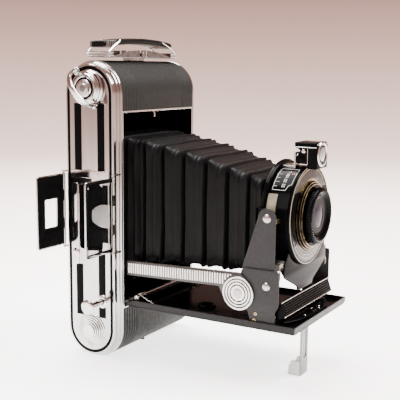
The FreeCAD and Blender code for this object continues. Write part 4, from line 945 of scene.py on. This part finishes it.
def on_ring(radius, y):
    """Maps flat figures to the outside of a cylinder about the lens axis: u runs round it, v along -Y."""
    def where(u, v, w):
        return spot(radius + w, u / radius, y - v)
    return where


def on_face(y):
    """Maps polar places to a face that looks along -Y: u is the angle in degrees clockwise, v the radius."""
    def where(u, v, w):
        return spot(v, radians(u), y - w)
    return where


def on_axis(name, look, y, profile, count, **rest):
    """A turned piece of the lens board; the profile runs forwards from one Y."""
    return turned(name, "board", look, (0, y, LENS_Z), (0, -1, 0), profile, count, **rest)


def lens_board():
    """The disc that carries the shutter, its side ears and the tongue below."""
    on_axis("board_disc", ENAMEL, -101.4, [(12, 0), (29.6, 0), (30.2, 0.3), (30.2, 1.3), (29.7, 1.6), (12, 1.6),
        (12, 0)], 96, stands_for=["lens_board"], slot="enamel_black", angle=26)
    on_axis("board_ring", ENAMEL, -102.6, [(27.2, 0), (29.9, 0), (29.9, 0.7), (29.5, 1.2), (28.8, 1.35),
        (27.2, 1.3), (27.2, 0)], 96, angle=26)
    lugs = Build()
    lugs.block((-33.6, -103.0, 86.4), (33.6, -101.5, 98.4))
    for side in (-1, 1):
        ear = rounded([(-113.0, 87, 2), (-113.1, 96.5, 4), (-109, 98.3, 4), (-101.5, 98.3, 0.3),
            (-101.5, 86.4, 0.3)], 1)
        lugs.prism(ear, side * 32.9, side * 33.6)
    lugs.block((-19.8, -103.0, 58.2), (19.8, -101.5, 76))
    lugs.object("board_lugs", "board", ENAMEL, bevel=0.15)
    low = [(24, 73.2, 0.4), (28.3, 67.5, 1.5), (29, 61.3, 1.5), (26, 59.5, 1.5), (10.6, 52.3, 1.5),
        (10, 49.8, 0.8)]
    shape = rounded([(-x, z, r) for x, z, r in low] + low[::-1], 1)
    tongue = shape + circle(0, LENS_Z, 27.5, 30, -41, -98)
    sheet_metal("front_tongue", "XZ", [tongue], 115.8, 0.8, "board", ENAMEL, 0.15, ["standard_front_plate"])
    steps = [(-18.9, 70.6), (-21.2, 66.3), (-24.2, 66.4), (-30.0, 68.0), (-31.8, 67.2), (-31.4, 60.8),
        (-33.1, 58.8), (-31.9, 57.2)]
    for side, tag in ((1, "left"), (-1, "right")):
        strip = Build()
        strip.loft([[(side * x, y, z + dz) for y, dz in ((-115.6, -0.9), (-115.6, 0.9), (-114.9, 0.9),
            (-114.9, -0.9))] for x, z in steps])
        strip.object(f"tongue_strip_{tag}", "board", CREAM, bevel=0.12)
    heads = Build()
    for side in (-1, 1):
        heads.rod((side * 32.6, -108.5, 93.2), (side * 34.75, -108.5, 93.2), 1.4, 24)
        heads.lathe((side * 34.75, -108.5, 93.2), (side, 0, 0), [(0, 0.9), (1.1, 0.82), (2.0, 0.5), (2.4, 0.1),
            (2.4, 0), (0, 0)], 36)
    heads.object("board_rivet_heads", "board", SATIN, ["board_rivets"], "nickel", angle=24)


def shutter():
    """The drum with its scale, face plate, levers and lens barrel."""
    front = 14.0
    on_axis("shutter_drum", ENAMEL, -103.0, [(11, 0), (27.4, 0), (27.4, front - 0.5), (27.0, front),
        (11, front), (11, 0)], 120, stands_for=["shutter_housing"], slot="enamel_black", angle=26)
    on_axis("face_rim", ENAMEL, -117.0, [(12.2, 0), (27.3, 0), (27.7, 0.2), (27.8, 0.6), (27.7, 1.0),
        (27.2, 1.25), (26.6, 1.3), (26.4, 1.15), (26.2, 1.1), (12.2, 1.1), (12.2, 0)], 120,
        stands_for=["faceplate"], slot="brass", angle=24)
    on_axis("face_line", CREAM, -118.05, [(26.75, 0), (27.2, 0), (27.2, 0.26), (26.75, 0.3), (26.75, 0)], 120)
    on_axis("face_plate", ENAMEL, -118.0, [(19.3, 0), (26.9, 0), (26.9, 0.12), (26.7, 0.16), (19.6, 0.16),
        (19.3, 0.12), (19.3, 0)], 120, angle=24)
    for tag, middle in (("upper", 0), ("lower", 180)):
        ring = []
        for r, a0, a1 in ((26.1, -56.5, 56.5), (19.4, 41.3, -41.3)):
            for i in range(25):
                ring.append(spot(r, radians(middle + a0 + (a1 - a0) * i / 24), 0)[::2])
        sheet_metal(f"face_segment_{tag}", "XZ", [ring], 118.1, 0.16, "board", TAUPE, 0.03)
    marks, pale = Build(), Build()

    def arc_mark(target, radius, width, a0, a1, y=FACE_Y, high=0.08):
        rings = []
        steps = max(4, int(abs(a1 - a0) / 4))
        for i in range(steps + 1):
            a = radians(a0 + (a1 - a0) * i / steps)
            rings.append([spot(r, a, yy) for r, yy in ((radius, y), (radius + width, y),
                (radius + width, y - high), (radius, y - high))])
        target.loft(rings)

    for r in (20.6, 22.2):
        arc_mark(pale, r, 0.18, 128, 232)
    arc_mark(pale, 24.3, 0.2, 118, 242)
    tick = ((22.6, 0.11), (23.9, 0.11), (23.9, -0.11), (22.6, -0.11))
    ray = ((20.4, 0.225, -118.21), (25.2, 0.75, -118.21), (25.2, -0.75, -118.21), (20.4, -0.225, -118.21),
        (20.4, 0, -118.29), (25.2, 0, -118.29))
    for a in range(130, 231, 10):
        t = radians(a)
        s, c = sin(t), cos(t)
        pale.add([(r * s + d * c, y, LENS_Z + r * c - d * s) for y in (FACE_Y, -118.28) for r, d in tick],
            TICK_SIDES)
    for a in range(-38, 39, 6):
        t = radians(a)
        s, c = sin(t), cos(t)
        marks.add([(r * s + w * c, y, LENS_Z + r * c - w * s) for r, w, y in ray],
            [(0, 1, 5, 4), (3, 4, 5, 2), (1, 2, 5), (0, 4, 3), (0, 3, 2, 1)])
    pale.object("face_scale_lines", "board", WHITE)
    marks.object("face_fan", "board", DARK)
    arcs = Build()
    arc_mark(arcs, 19.5, 0.6, -44, 44)
    arc_mark(arcs, 25.5, 0.35, -44, 44)
    arcs.object("face_fan_border", "board", BRASS)
    on_axis("barrel_flange", ENAMEL, -118.1, [(12.2, 0), (19.0, 0), (19.2, 0.5), (19.0, 1.0), (18.6, 1.15),
        (12.2, 1.2), (12.2, 0)], 96, stands_for=["lens_barrel"], slot="brass", angle=24)
    for i, (r, y) in enumerate(((19.1, -118.6), (18.3, -119.9), (17.3, -120.8))):
        on_axis(f"barrel_line_{i}", BRASS, y, [(r - 0.2, 0), (r + 0.16, 0), (r + 0.16, 0.3), (r - 0.2, 0.3),
            (r - 0.2, 0)], 96)
    on_axis("barrel_black", ENAMEL, -119.2, [(12.2, 0), (18.3, 0), (18.3, 0.9), (17.7, 1.3), (17.2, 1.7),
        (12.2, 1.7), (12.2, 0)], 96, angle=24)
    post = Build()
    post.block((-7.6, -112.0, LENS_Z + 24), (-2.6, -111.0, 126.2))
    post.block((-6.8, -112.0, LENS_Z + 26.0), (-1.0, -104.5, LENS_Z + 27.6))
    post.rod((-5.6, -111.6, 124.4), (-5.6, -114.4, 124.4), 0.9, 18)
    post.object("finder_post", "board", SATIN, bevel=0.15)
    bands = Build()
    for a0, a1, y0, y1 in ((-92, -60, -104.2, -109.8), (-14, 6, -104.0, -110.2)):
        rings = []
        for i in range(13):
            a = radians(a0 + (a1 - a0) * i / 12)
            rings.append([spot(r, a, y) for r, y in ((27.3, y0), (27.95, y0), (27.95, y1), (27.3, y1))])
        bands.loft(rings)
    bands.object("shutter_band", "board", OLIVE, bevel=0.15)
    plate = Build()
    rings = []
    for i in range(17):
        a = radians(-56 + 36 * i / 16)
        rings.append([spot(r, a, y) for r, y in ((27.3, -105.0), (27.75, -105.0), (27.75, -116.3),
            (27.3, -116.3))])
    plate.loft(rings)
    plate.object("scale_plate", "board", STRIPE, ["speed_scale_plate"], "brass", bevel=0.1)
    lines = Build()
    border = [(-55, -105.6), (-55, -113.2), (-49, -114.2), (-47, -115.9), (-21.4, -115.9), (-21.4, -105.6)]
    path = []
    for (a0, y0), (a1, y1) in zip(border, border[1:] + border[:1]):
        for i in range(8):
            a = radians(a0 + (a1 - a0) * i / 8)
            path.append(spot(DRUM_OUT, a, y0 + (y1 - y0) * i / 8))
    path.append(path[0])
    lines.tube(path, 0.16, 6)
    for i, a in enumerate((-50, -44, -38, -32)):
        p = Vector(spot(DRUM_OUT, radians(a), 0))
        lines.tube([p + Vector((0, -106.2, 0)), p + Vector((0, -108.2 if i % 2 else -107.6, 0))], 0.14, 6)
    lines.object("scale_plate_lines", "board", WHITE)
    for i, (text, a) in enumerate((("25", -49), ("50", -42), ("100", -34.5), ("T", -27.5))):
        number(text, 2.5, (radians(a) * DRUM_OUT, 0), on_ring(DRUM_OUT, -111.2), "board", WHITE,
            f"speed_figure_{i}", 0.1)
    number("B", 2.3, (radians(-30.5) * DRUM_OUT, 0), on_ring(DRUM_OUT, -113.9), "board", RED, "speed_mark", 0.1)
    for node, angle, y, look in (("speed_lever", -90, -112.1, BRASS), ("release_lever", 84.8, -112.1, SATIN),
            ("aperture_lever", 180, -114.4, SATIN)):
        t = radians(angle)
        out, across = Vector((sin(t), 0, cos(t))), Vector((cos(t), 0, -sin(t)))
        centre = Vector((0, y, LENS_Z))
        shape = []
        for r, w in ((22.6, 1.1), (27.8, 1.1), (29.5, 0.8), (31.0, 1.0), (31.7, 0.8), (31.7, -0.8),
                (31.0, -1.0), (29.5, -0.8), (27.8, -1.1), (22.6, -1.1)):
            shape.append(centre + out * r + across * w)
        lever = Build().loft([[p + Vector((0, d, 0)) for p in shape] for d in (-0.6, 0.6)])
        lever.lathe(centre + out * 31.0 + Vector((0, 0.65, 0)), (0, -1, 0),
            [(0, 0), (1.0, 0), (1.05, 0.2), (1.05, 1.1), (0.9, 1.3), (0, 1.3)], 20)
        lever.object(f"{node}_arm", node, look, [node], "steel", bevel=0.12)


def lenses():
    """The front ring that turns, its figures and the glass."""
    front = mm_box("focus_ring")[0][1]
    n = 150
    rings = []
    profile = [(10.7, 6.2), (11.8, 6.2), (11.8, 3.4), (15.2, 3.1), (15.75, 2.8), (15.75, 0.9), (15.3, 0.45),
        (14.6, 0.15), (13.6, 0.0), (12.6, 0.35), (11.4, 1.2), (10.8, 1.6), (10.7, 6.2)]
    for r, h in profile:
        ring = []
        for i in range(n):
            a = 2 * pi * i / n
            rr = r - (0.22 if (i % 3 == 0 and 15.6 < r < 15.8) else 0)
            ring.append(spot(rr, a, front + h))
        rings.append(ring)
    Build().loft(rings, caps=False).object("front_ring", "focus_ring", ENAMEL, ["focus_ring"], "enamel_black",
        angle=26)
    turned("lens_cell", "focus_ring", ENAMEL, (0, front + 2.0, LENS_Z), (0, 1, 0),
        [(9.6, 0), (10.75, -0.3), (10.75, 0.6), (9.6, 0.6), (9.6, 0)], 96, angle=26)
    for i, text in enumerate(("4", "6", "8", "10", "15", "25", "50")):
        number(text, 1.6, (-70 + i * 23, 13.5), lambda u, v, w, a=-70 + i * 23: on_face(front + 0.28)(a
            + (u - a) * 4.0, v, w), "focus_ring", WHITE, f"distance_figure_{i}", 0.1)
    dots = Build()
    for i in range(24):
        a = radians(100 + i * 7)
        p = Vector(spot(14.2, a, front + 0.12))
        dots.lathe(p + Vector((0, 0.1, 0)), (0, -1, 0), [(0, 0), (0.16, 0), (0.16, 0.16), (0, 0.16)], 8)
    dots.object("distance_dots", "focus_ring", WHITE)
    turned("front_glass", "focus_ring", LENS, (0, front + 1.4, LENS_Z), (0, 1, 0),
        [(0, 0.0), (3, 0.12), (6, 0.5), (8, 0.95), (9.7, 1.5), (9.7, 2.4), (0, 2.4)], 72,
        stands_for=["front_lens"], slot="glass", angle=60)
    turned("lens_backing", "focus_ring", DARK, (0, front + 4.2, LENS_Z), (0, 1, 0),
        [(0, 0), (10.5, 0), (10.5, 0.3), (0, 0.3)], 48)


lens_board()
shutter()
lenses()


# ---------------------------------------------------------------- reflex finder
def reflex_finder():
    """The small waist-level finder on the shutter."""
    low, high = mm_box("reflex_finder_body")
    y0, y1, z0, z1 = low[1], high[1], low[2], high[2]
    over = y1
    y1 = y0 + 12.0
    outline = rounded([(y0, z0, 0.6), (y0, z1 - 0.9, 0.6), (y0 + 0.9, z1, 0.6), (over, z1, 0.5),
        (over, z1 - 2.9, 0.8), (over - 3.6, z1 - 4.2, 2.5), (y1, z1 - 7.2, 3), (y1, 119.9, 0.6),
        (y0 + 5.9, 119.8, 0.4), (y0 + 5.9, z0, 0.6)], 0.8)
    sheet_metal("finder_body", "YZ", [outline], -7.6, 15.2, "reflex_finder", ENAMEL, 0.7,
        ["reflex_finder_body"])
    turned("finder_eye_rim", "reflex_finder", CHROME, (0, y0 + 0.5, 125.2), (0, -1, 0),
        [(5.0, 0), (7.0, 0), (7.0, 0.5), (6.7, 0.85), (5.9, 1.0), (5.2, 0.7), (5.0, 0)], 64, angle=26)
    turned("finder_eye_glass", "reflex_finder", PALE_GLASS, (0, y0 + 0.5, 125.2), (0, -1, 0),
        [(0, 0.95), (1.9, 0.85), (3.6, 0.6), (4.8, 0.25), (5.05, 0), (0, 0)], 56,
        stands_for=["reflex_finder_lens"], slot="glass", angle=50)
    trim = Build()
    for side in (-1, 1):
        x = side * 7.55
        trim.tube([(x, y0 + 0.6, z1 - 2.6), (x, (y0 + y1) / 2, z1 - 2.6), (x, over - 0.5, z1 - 2.6)], 0.22, 8)
        trim.tube([(x, y0 + 5.6, z0 + 2.5), (x, y0 + 5.6, z1 - 3.2)], 0.2, 8)
        trim.lathe((side * 7.4, y1 - 3.9, z1 - 4.8), (side, 0, 0), [(0, 0.45), (0.9, 0.4), (1.2, 0.1), (1.2, 0),
            (0, 0)], 24)
    trim.tube([(-7.3, over, z1 - 0.6), (7.3, over, z1 - 0.6)], 0.2, 8)
    trim.tube([(-7.3, y0 + 0.1, z1 - 0.9), (7.3, y0 + 0.1, z1 - 0.9)], 0.2, 8)
    trim.object("finder_trim", "reflex_finder", CHROME)
    slab("finder_hood_flap", "reflex_finder", TAUPE, (-6.9, y0 - 0.08, 131.0), (6.9, y0 + 0.3, z1 - 1.0),
        bevel=0.1)
    dome = []
    for i in range(17):
        v = i / 16
        ring = []
        for j in range(17):
            u = j / 16
            x, y = -5.2 + 10.4 * u, y0 + 2.2 + (y1 - y0 - 5.0) * v
            bulge = 0.75 * (1 - (2 * u - 1) ** 2) * (1 - (2 * v - 1) ** 2)
            ring.append((x, y, z1 - 0.12 + 0.06 * bulge))
        dome.append(ring)
    Build().loft(dome, closed=False).object("finder_top_glass", "reflex_finder", PALE_GLASS)
    sheet_metal("finder_top_rim", "XY", [rect(-6.2, y0 + 1.5, 6.2, y1 - 1.9, 0.9),
        rect(-5.2, y0 + 2.3, 5.2, y1 - 2.9, 0.7)[::-1]], z1 - 0.3, 0.3, "reflex_finder", CHROME, 0.08)


PALE_GLASS = material("finder_glass", (0.21, 0.21, 0.215), 0.3, 0.05, coat=1.0, tint=(300, 0.3),
    smudge=(200, 0.02, 0.1), grain=(100, 0.002))
reflex_finder()


# ---------------------------------------------------------------- handle
def handle():
    """The carrying strap with its base plate, clips and wires."""
    sheet_metal("handle_plate", "XY", [rect(-36, -7.6, 36, 7.6, 1.5)], 176.4, 0.8, "case", SATIN, 0.25,
        ["handle_base"])
    slab("handle_pad", "case", SATIN, (-7, -3, 174.9), (7, 3, 176.5), bevel=0.2)
    flanges = Build()
    for y in (-7.6, 6.95):
        for x0, x1, peak in ((-30, -4.2, 181.0), (4.2, 30, 181.0)):
            outline = [(x0, 176.6), (x1, 176.6)]
            for i in range(15):
                t = i / 14
                x = x1 + (x0 - x1) * t
                s = t if x0 < 0 else 1 - t
                outline.append((x, 177.2 + (peak - 177.2) * cos(s * pi / 2) ** 0.9))
            flanges.loft([[(x, yy, z) for x, z in outline] for yy in (y, y + 0.65)])
    flanges.object("handle_flanges", "case", STEEL, bevel=0.12)
    centre = Build()
    centre.block((-2.2, -7.7, 176.3), (2.2, -7.0, 181.2))
    centre.block((-2.2, 7.0, 176.3), (2.2, 7.7, 181.2))
    centre.rod((0, -7.7, 178.8), (0, 7.7, 178.8), 0.9, 20)
    centre.lathe((0, -7.5, 178.6), (0, -1, 0), [(0, 0.5), (1.2, 0.4), (1.6, 0.1), (1.6, 0), (0, 0)], 24)
    centre.object("handle_centre", "case", STEEL, bevel=0.12)
    clips = Build()
    for side in (-1, 1):
        clips.block((side * 36.0, -7.65, 177.3), (side * 30.5, 7.65, 178.4))
        clips.block((side * 36.0, -7.65, 178.9), (side * 30.5, 7.65, 180.0))
        clips.block((side * 35.4, -7.2, 178.2), (side * 31.1, 7.2, 179.1))
    clips.object("handle_end_clips", "case", CHROME, ["handle_clips"], "nickel", bevel=0.4)
    wires = Build()
    for side, reach in ((-1, 24.5), (1, 23.0)):
        for y in (-7.5, 7.5):
            wires.tube([(side * 35.4, y, 178.8), (side * 34.4, y, 180.2), (side * 30.5, y, 182.8),
                (side * reach, y * 0.96, 185.6), (side * (reach - 1.2), y * 0.9, 186.4)], 0.62, 10)
    wires.object("handle_wires", "case", CHROME)
    clamp = Build()
    for k in range(5):
        x = -34.6 + k * 1.7
        clamp.block((x, -6.7, 182.0 + 0.1 * k), (x + 1.1, 6.7, 186.0 + 0.12 * k))
    clamp.object("handle_clamp", "case", STEEL, bevel=0.35)
    rings = []
    underside = []
    for i in range(49):
        t = i / 48
        x = -35.5 + 71 * t
        top = 185.2 + 3.1 * max(0, sin(pi * (t * 0.88 + 0.03))) ** 0.8
        low = top - 3.3 - 0.5 * t ** 3
        ring = []
        end = 1 - 0.25 * (abs(2 * t - 1)) ** 8
        for k in range(20):
            a = 2 * pi * k / 20
            c, s = cos(a), sin(a)
            y = 6.35 * end * copysign(abs(c) ** 0.45, c)
            z = (top + low) / 2 + (top - low) / 2 * copysign(abs(s) ** 0.7, s)
            z += noise.noise(Vector((x * 0.12, y * 0.1, 3))) * 0.12
            ring.append((x, y, z))
        rings.append(ring)
        underside.append((x, low))
    Build().loft(rings).object("handle_strap", "case", GRIP, ["handle_grip"], "handle", angle=50)
    strips = Build()
    rows = [[(x, y, low - 0.22) for y in (-5.6, -2, 2, 5.6)] + [(x, y, low + 0.3) for y in (5.6, 2, -2, -5.6)]
        for x, low in underside[2:-2]]
    strips.loft(rows)
    strips.object("handle_lining", "case", TAN, bevel=0.08)
    stitches = Build()
    for y in (-5.3, 5.3):
        for i in range(3, 45):
            x, low = underside[i]
            top = low + 3.0
            stitches.rod((x - 0.45, y, top - 0.05), (x + 0.45, y, top), 0.16, 6)
    stitches.object("handle_stitches", "case", TAN)


handle()


# ---------------------------------------------------------------- inside and back
def inside():
    """Looks for plain CAD bodies, and the screws and catch about the opening."""
    plain = {"main_casing": ENAMEL, "film_gate": ENAMEL, "roller_upper": SATIN, "roller_lower": SATIN,
        "spool_pins": STEEL, "take_up_spool": ENAMEL, "hinge_pins": STEEL, "rear_lens": LENS,
        "shutter_blades": SATIN, "red_window": RUBY, "pressure_plate": DARK, "back_cover": ENAMEL}
    for node, look in plain.items():
        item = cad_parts[node]
        item.data.materials.clear()
        item.data.materials.append(look)
    wall = Build()
    for x in (-31, 31):
        wall.lathe((x, -16, 145.35), (0, 0, -1), [(0, 0.55), (1.0, 0.5), (1.5, 0.2), (1.6, 0), (0, 0)], 24)
    for x in (-12, 12):
        wall.lathe((x, 0, 177.2), (0, 0, 1), [(0, 0.7), (1.2, 0.6), (1.8, 0.25), (1.9, 0), (0, 0)], 24)
    wall.object("case_screw_heads", "case", CHROME, ["case_screws"], "nickel", angle=28)
    slab("catch_nose", "bed_catch", BRASS, (-1.0, -15.1, 143.9), (1.0, -13.7, 145.8), stands_for=["bed_catch"],
        slot="nickel", bevel=0.25)
    turned("catch_button", "case", BRASS, (0, -16.6, 145.35), (0, 0, -1),
        [(0, 0.7), (0.9, 0.6), (1.2, 0.2), (1.2, 0), (0, 0)], 24)
    slab("catch_bar", "case", CHROME, (-0.55, -15.35, 141.4), (0.55, -15.0, 144.2), bevel=0.2)


def back():
    """The skin, window cover and latch of the hinged back."""
    path = arc_path(RADIUS, -32.5, 0, 14)[1:] + [(RADIUS, 19.05 + (TOP_ARC - 19.05) * i / 14, 1, 0)
        for i in range(1, 15)] + arc_path(TOP_ARC, 0, 32.5, 14)[1:]
    skin = covering("back_covering", "back", path, ["back_leather"], 120, 0.03, 0.025)
    cut_out(skin, Build().rod((0, 14, 60), (0, 24, 60), 5.4, 40, edge=0))
    turned("window_bezel", "back", CHROME, (0, 18.3, 60), (0, 1, 0), [(4.4, 0), (5.4, 0), (5.4, 0.55),
        (5.1, 0.7), (4.6, 0.6), (4.4, 0.3), (4.4, 0)], 56, angle=26)
    sheet_metal("window_cover", "XZ", [rect(-7.5, 53, 7.5, 67, 2)], -20.05, 0.7, "window_slide", SATIN, 0.2,
        ["window_slide"])
    thumb = Build()
    for k in range(6):
        z = 56.4 + k * 1.4
        thumb.rod((-3.2, 20.2, z), (3.2, 20.2, z), 0.55, 12)
    thumb.object("window_grip", "window_slide", SATIN)
    rails = Build()
    for side in (-1, 1):
        rails.block((side * 7.9, 19.0, 51), (side * 9.2, 19.25, 81))
    rails.object("window_rails", "back", SATIN, bevel=0.08)
    sheet_metal("latch_cover", "XZ", [rect(-8, 154, 8, 164, 2)], -20.15, 0.8, "back_latch", CHROME, 0.25,
        ["back_latch"])
    grip = Build()
    for k in range(5):
        z = 156.6 + k * 1.2
        grip.rod((-4.0, 20.3, z), (4.0, 20.3, z), 0.5, 12)
    grip.object("latch_grip", "back_latch", CHROME)


inside()
back()


# ---------------------------------------------------------------- stage, light and camera
def fill_ramp(ramp, first, last, *between):
    """Sets the end colours of a ramp and adds (place, colour) stops between them."""
    for element, place, color in ((ramp.elements[0], 0.0, first), (ramp.elements[1], 1.0, last)):
        element.position = place
        element.color = (*color, 1)
    for place, color in between:
        ramp.elements.new(place).color = (*color, 1)


def stage():
    """Floor that glows with a painted light falloff, sky, lamps and camera."""
    ground = bpy.data.materials.new("glowing_sweep_painted_falloff")
    ground.use_nodes = True
    nodes, links = ground.node_tree.nodes, ground.node_tree.links
    shader = nodes["Principled BSDF"]
    shader.inputs["Roughness"].default_value = 0.8
    shader.inputs["Specular IOR Level"].default_value = 0.1
    where = nodes.new("ShaderNodeTexCoord")
    far = nodes.new("ShaderNodeVectorMath")
    far.operation = "LENGTH"
    links.new(where.outputs["Object"], far.inputs[0])
    reach = nodes.new("ShaderNodeMapRange")
    reach.inputs["From Min"].default_value = 0.0
    reach.inputs["From Max"].default_value = 3.2
    links.new(far.outputs["Value"], reach.inputs["Value"])
    split = nodes.new("ShaderNodeSeparateXYZ")
    links.new(where.outputs["Object"], split.inputs["Vector"])
    rise = nodes.new("ShaderNodeMath")
    rise.operation = "MULTIPLY_ADD"
    rise.inputs[1].default_value = 0.5
    links.new(split.outputs["Z"], rise.inputs[0])
    links.new(reach.outputs["Result"], rise.inputs[2])
    # Painted light falloff: the colour runs from near white in the middle to dark brown with distance and
    # height.
    painted_falloff_ramp = nodes.new("ShaderNodeValToRGB")
    fill_ramp(painted_falloff_ramp.color_ramp, (1.0, 0.995, 0.985), (0.14, 0.085, 0.071), (0.16, (0.72, 0.64, 0.60)),
        (0.35, (0.43, 0.335, 0.30)), (0.8, (0.24, 0.155, 0.132)))
    links.new(rise.outputs["Value"], painted_falloff_ramp.inputs["Fac"])
    grain = nodes.new("ShaderNodeTexNoise")
    grain.inputs["Scale"].default_value = 400
    bump = nodes.new("ShaderNodeBump")
    bump.inputs["Distance"].default_value = 0.0001
    links.new(where.outputs["Object"], grain.inputs["Vector"])
    links.new(grain.outputs["Fac"], bump.inputs["Height"])
    links.new(bump.outputs["Normal"], shader.inputs["Normal"])
    links.new(painted_falloff_ramp.outputs["Color"], shader.inputs["Base Color"])
    # The floor glows with its own colour, as painted light.
    links.new(painted_falloff_ramp.outputs["Color"], shader.inputs["Emission Color"])
    shader.inputs["Emission Strength"].default_value = 3.0
    rings = [(0.0, 0.0), (0.5, 0.0), (1.2, 0.0)]
    for i in range(1, 13):
        a = radians(90 * i / 12)
        rings.append((1.2 + 1.7 * sin(a), 1.5 * (1 - cos(a))))
    sweep = Build()
    sweep.lathe((0, 0, 0), (0, 0, 1), [(r / MM, h / MM) for r, h in rings], 96)
    mesh = bpy.data.meshes.new("floor")
    mesh.from_pydata([[v * MM for v in p] for p in sweep.points], [], sweep.faces)
    mesh.polygons.foreach_set("use_smooth", [True] * len(mesh.polygons))
    mesh.materials.append(ground)
    floor = link(bpy.data.objects.new("floor", mesh))

    world = bpy.data.worlds.new("studio")
    bpy.context.scene.world = world
    world.use_nodes = True
    nodes, links = world.node_tree.nodes, world.node_tree.links
    back = nodes["Background"]
    where = nodes.new("ShaderNodeTexCoord")
    split = nodes.new("ShaderNodeSeparateXYZ")
    links.new(where.outputs["Generated"], split.inputs["Vector"])
    sky = nodes.new("ShaderNodeValToRGB")
    fill_ramp(sky.color_ramp, (0.30, 0.25, 0.23), (0.85, 0.87, 0.92), (0.55, (0.12, 0.12, 0.13)),
        (0.75, (0.6, 0.6, 0.62)))
    links.new(split.outputs["Z"], sky.inputs["Fac"])
    links.new(sky.outputs["Color"], back.inputs["Color"])
    back.inputs["Strength"].default_value = 1.0

    def lamp(name, place, target, size, power, color=(1, 1, 1)):
        light = bpy.data.lights.new(name, "AREA")
        light.shape = "RECTANGLE"
        light.size, light.size_y = size
        light.energy = power
        light.color = color
        holder = link(bpy.data.objects.new(name, light))
        holder.location = place
        aim = Vector(target) - Vector(place)
        holder.rotation_euler = aim.to_track_quat("-Z", "Y").to_euler()

    lamp("key_light", (0.55, -0.9, 1.15), (0, -0.05, 0.08), (0.8, 0.8), 50)
    lamp("side_light", (-1.15, 0.35, 0.9), (0, 0, 0.08), (0.5, 0.9), 12)
    lamp("top_light", (0.1, 0.3, 1.4), (0, 0, 0.1), (1.1, 0.8), 72)

    camera = bpy.data.cameras.new("camera")
    camera.lens = 75.67
    camera.sensor_width = 36
    camera.clip_start, camera.clip_end = 0.01, 50
    holder = link(bpy.data.objects.new("camera", camera))
    holder.location = (-0.4275, -0.2968, 0.1712)
    look = Vector((0.8535, 0.4975, -0.1556)).normalized()
    turn = look.to_track_quat("-Z", "Y").to_matrix() @ Matrix.Rotation(radians(0.5), 3, "Z")
    holder.rotation_euler = turn.to_euler()
    bpy.context.scene.camera = holder


stage()
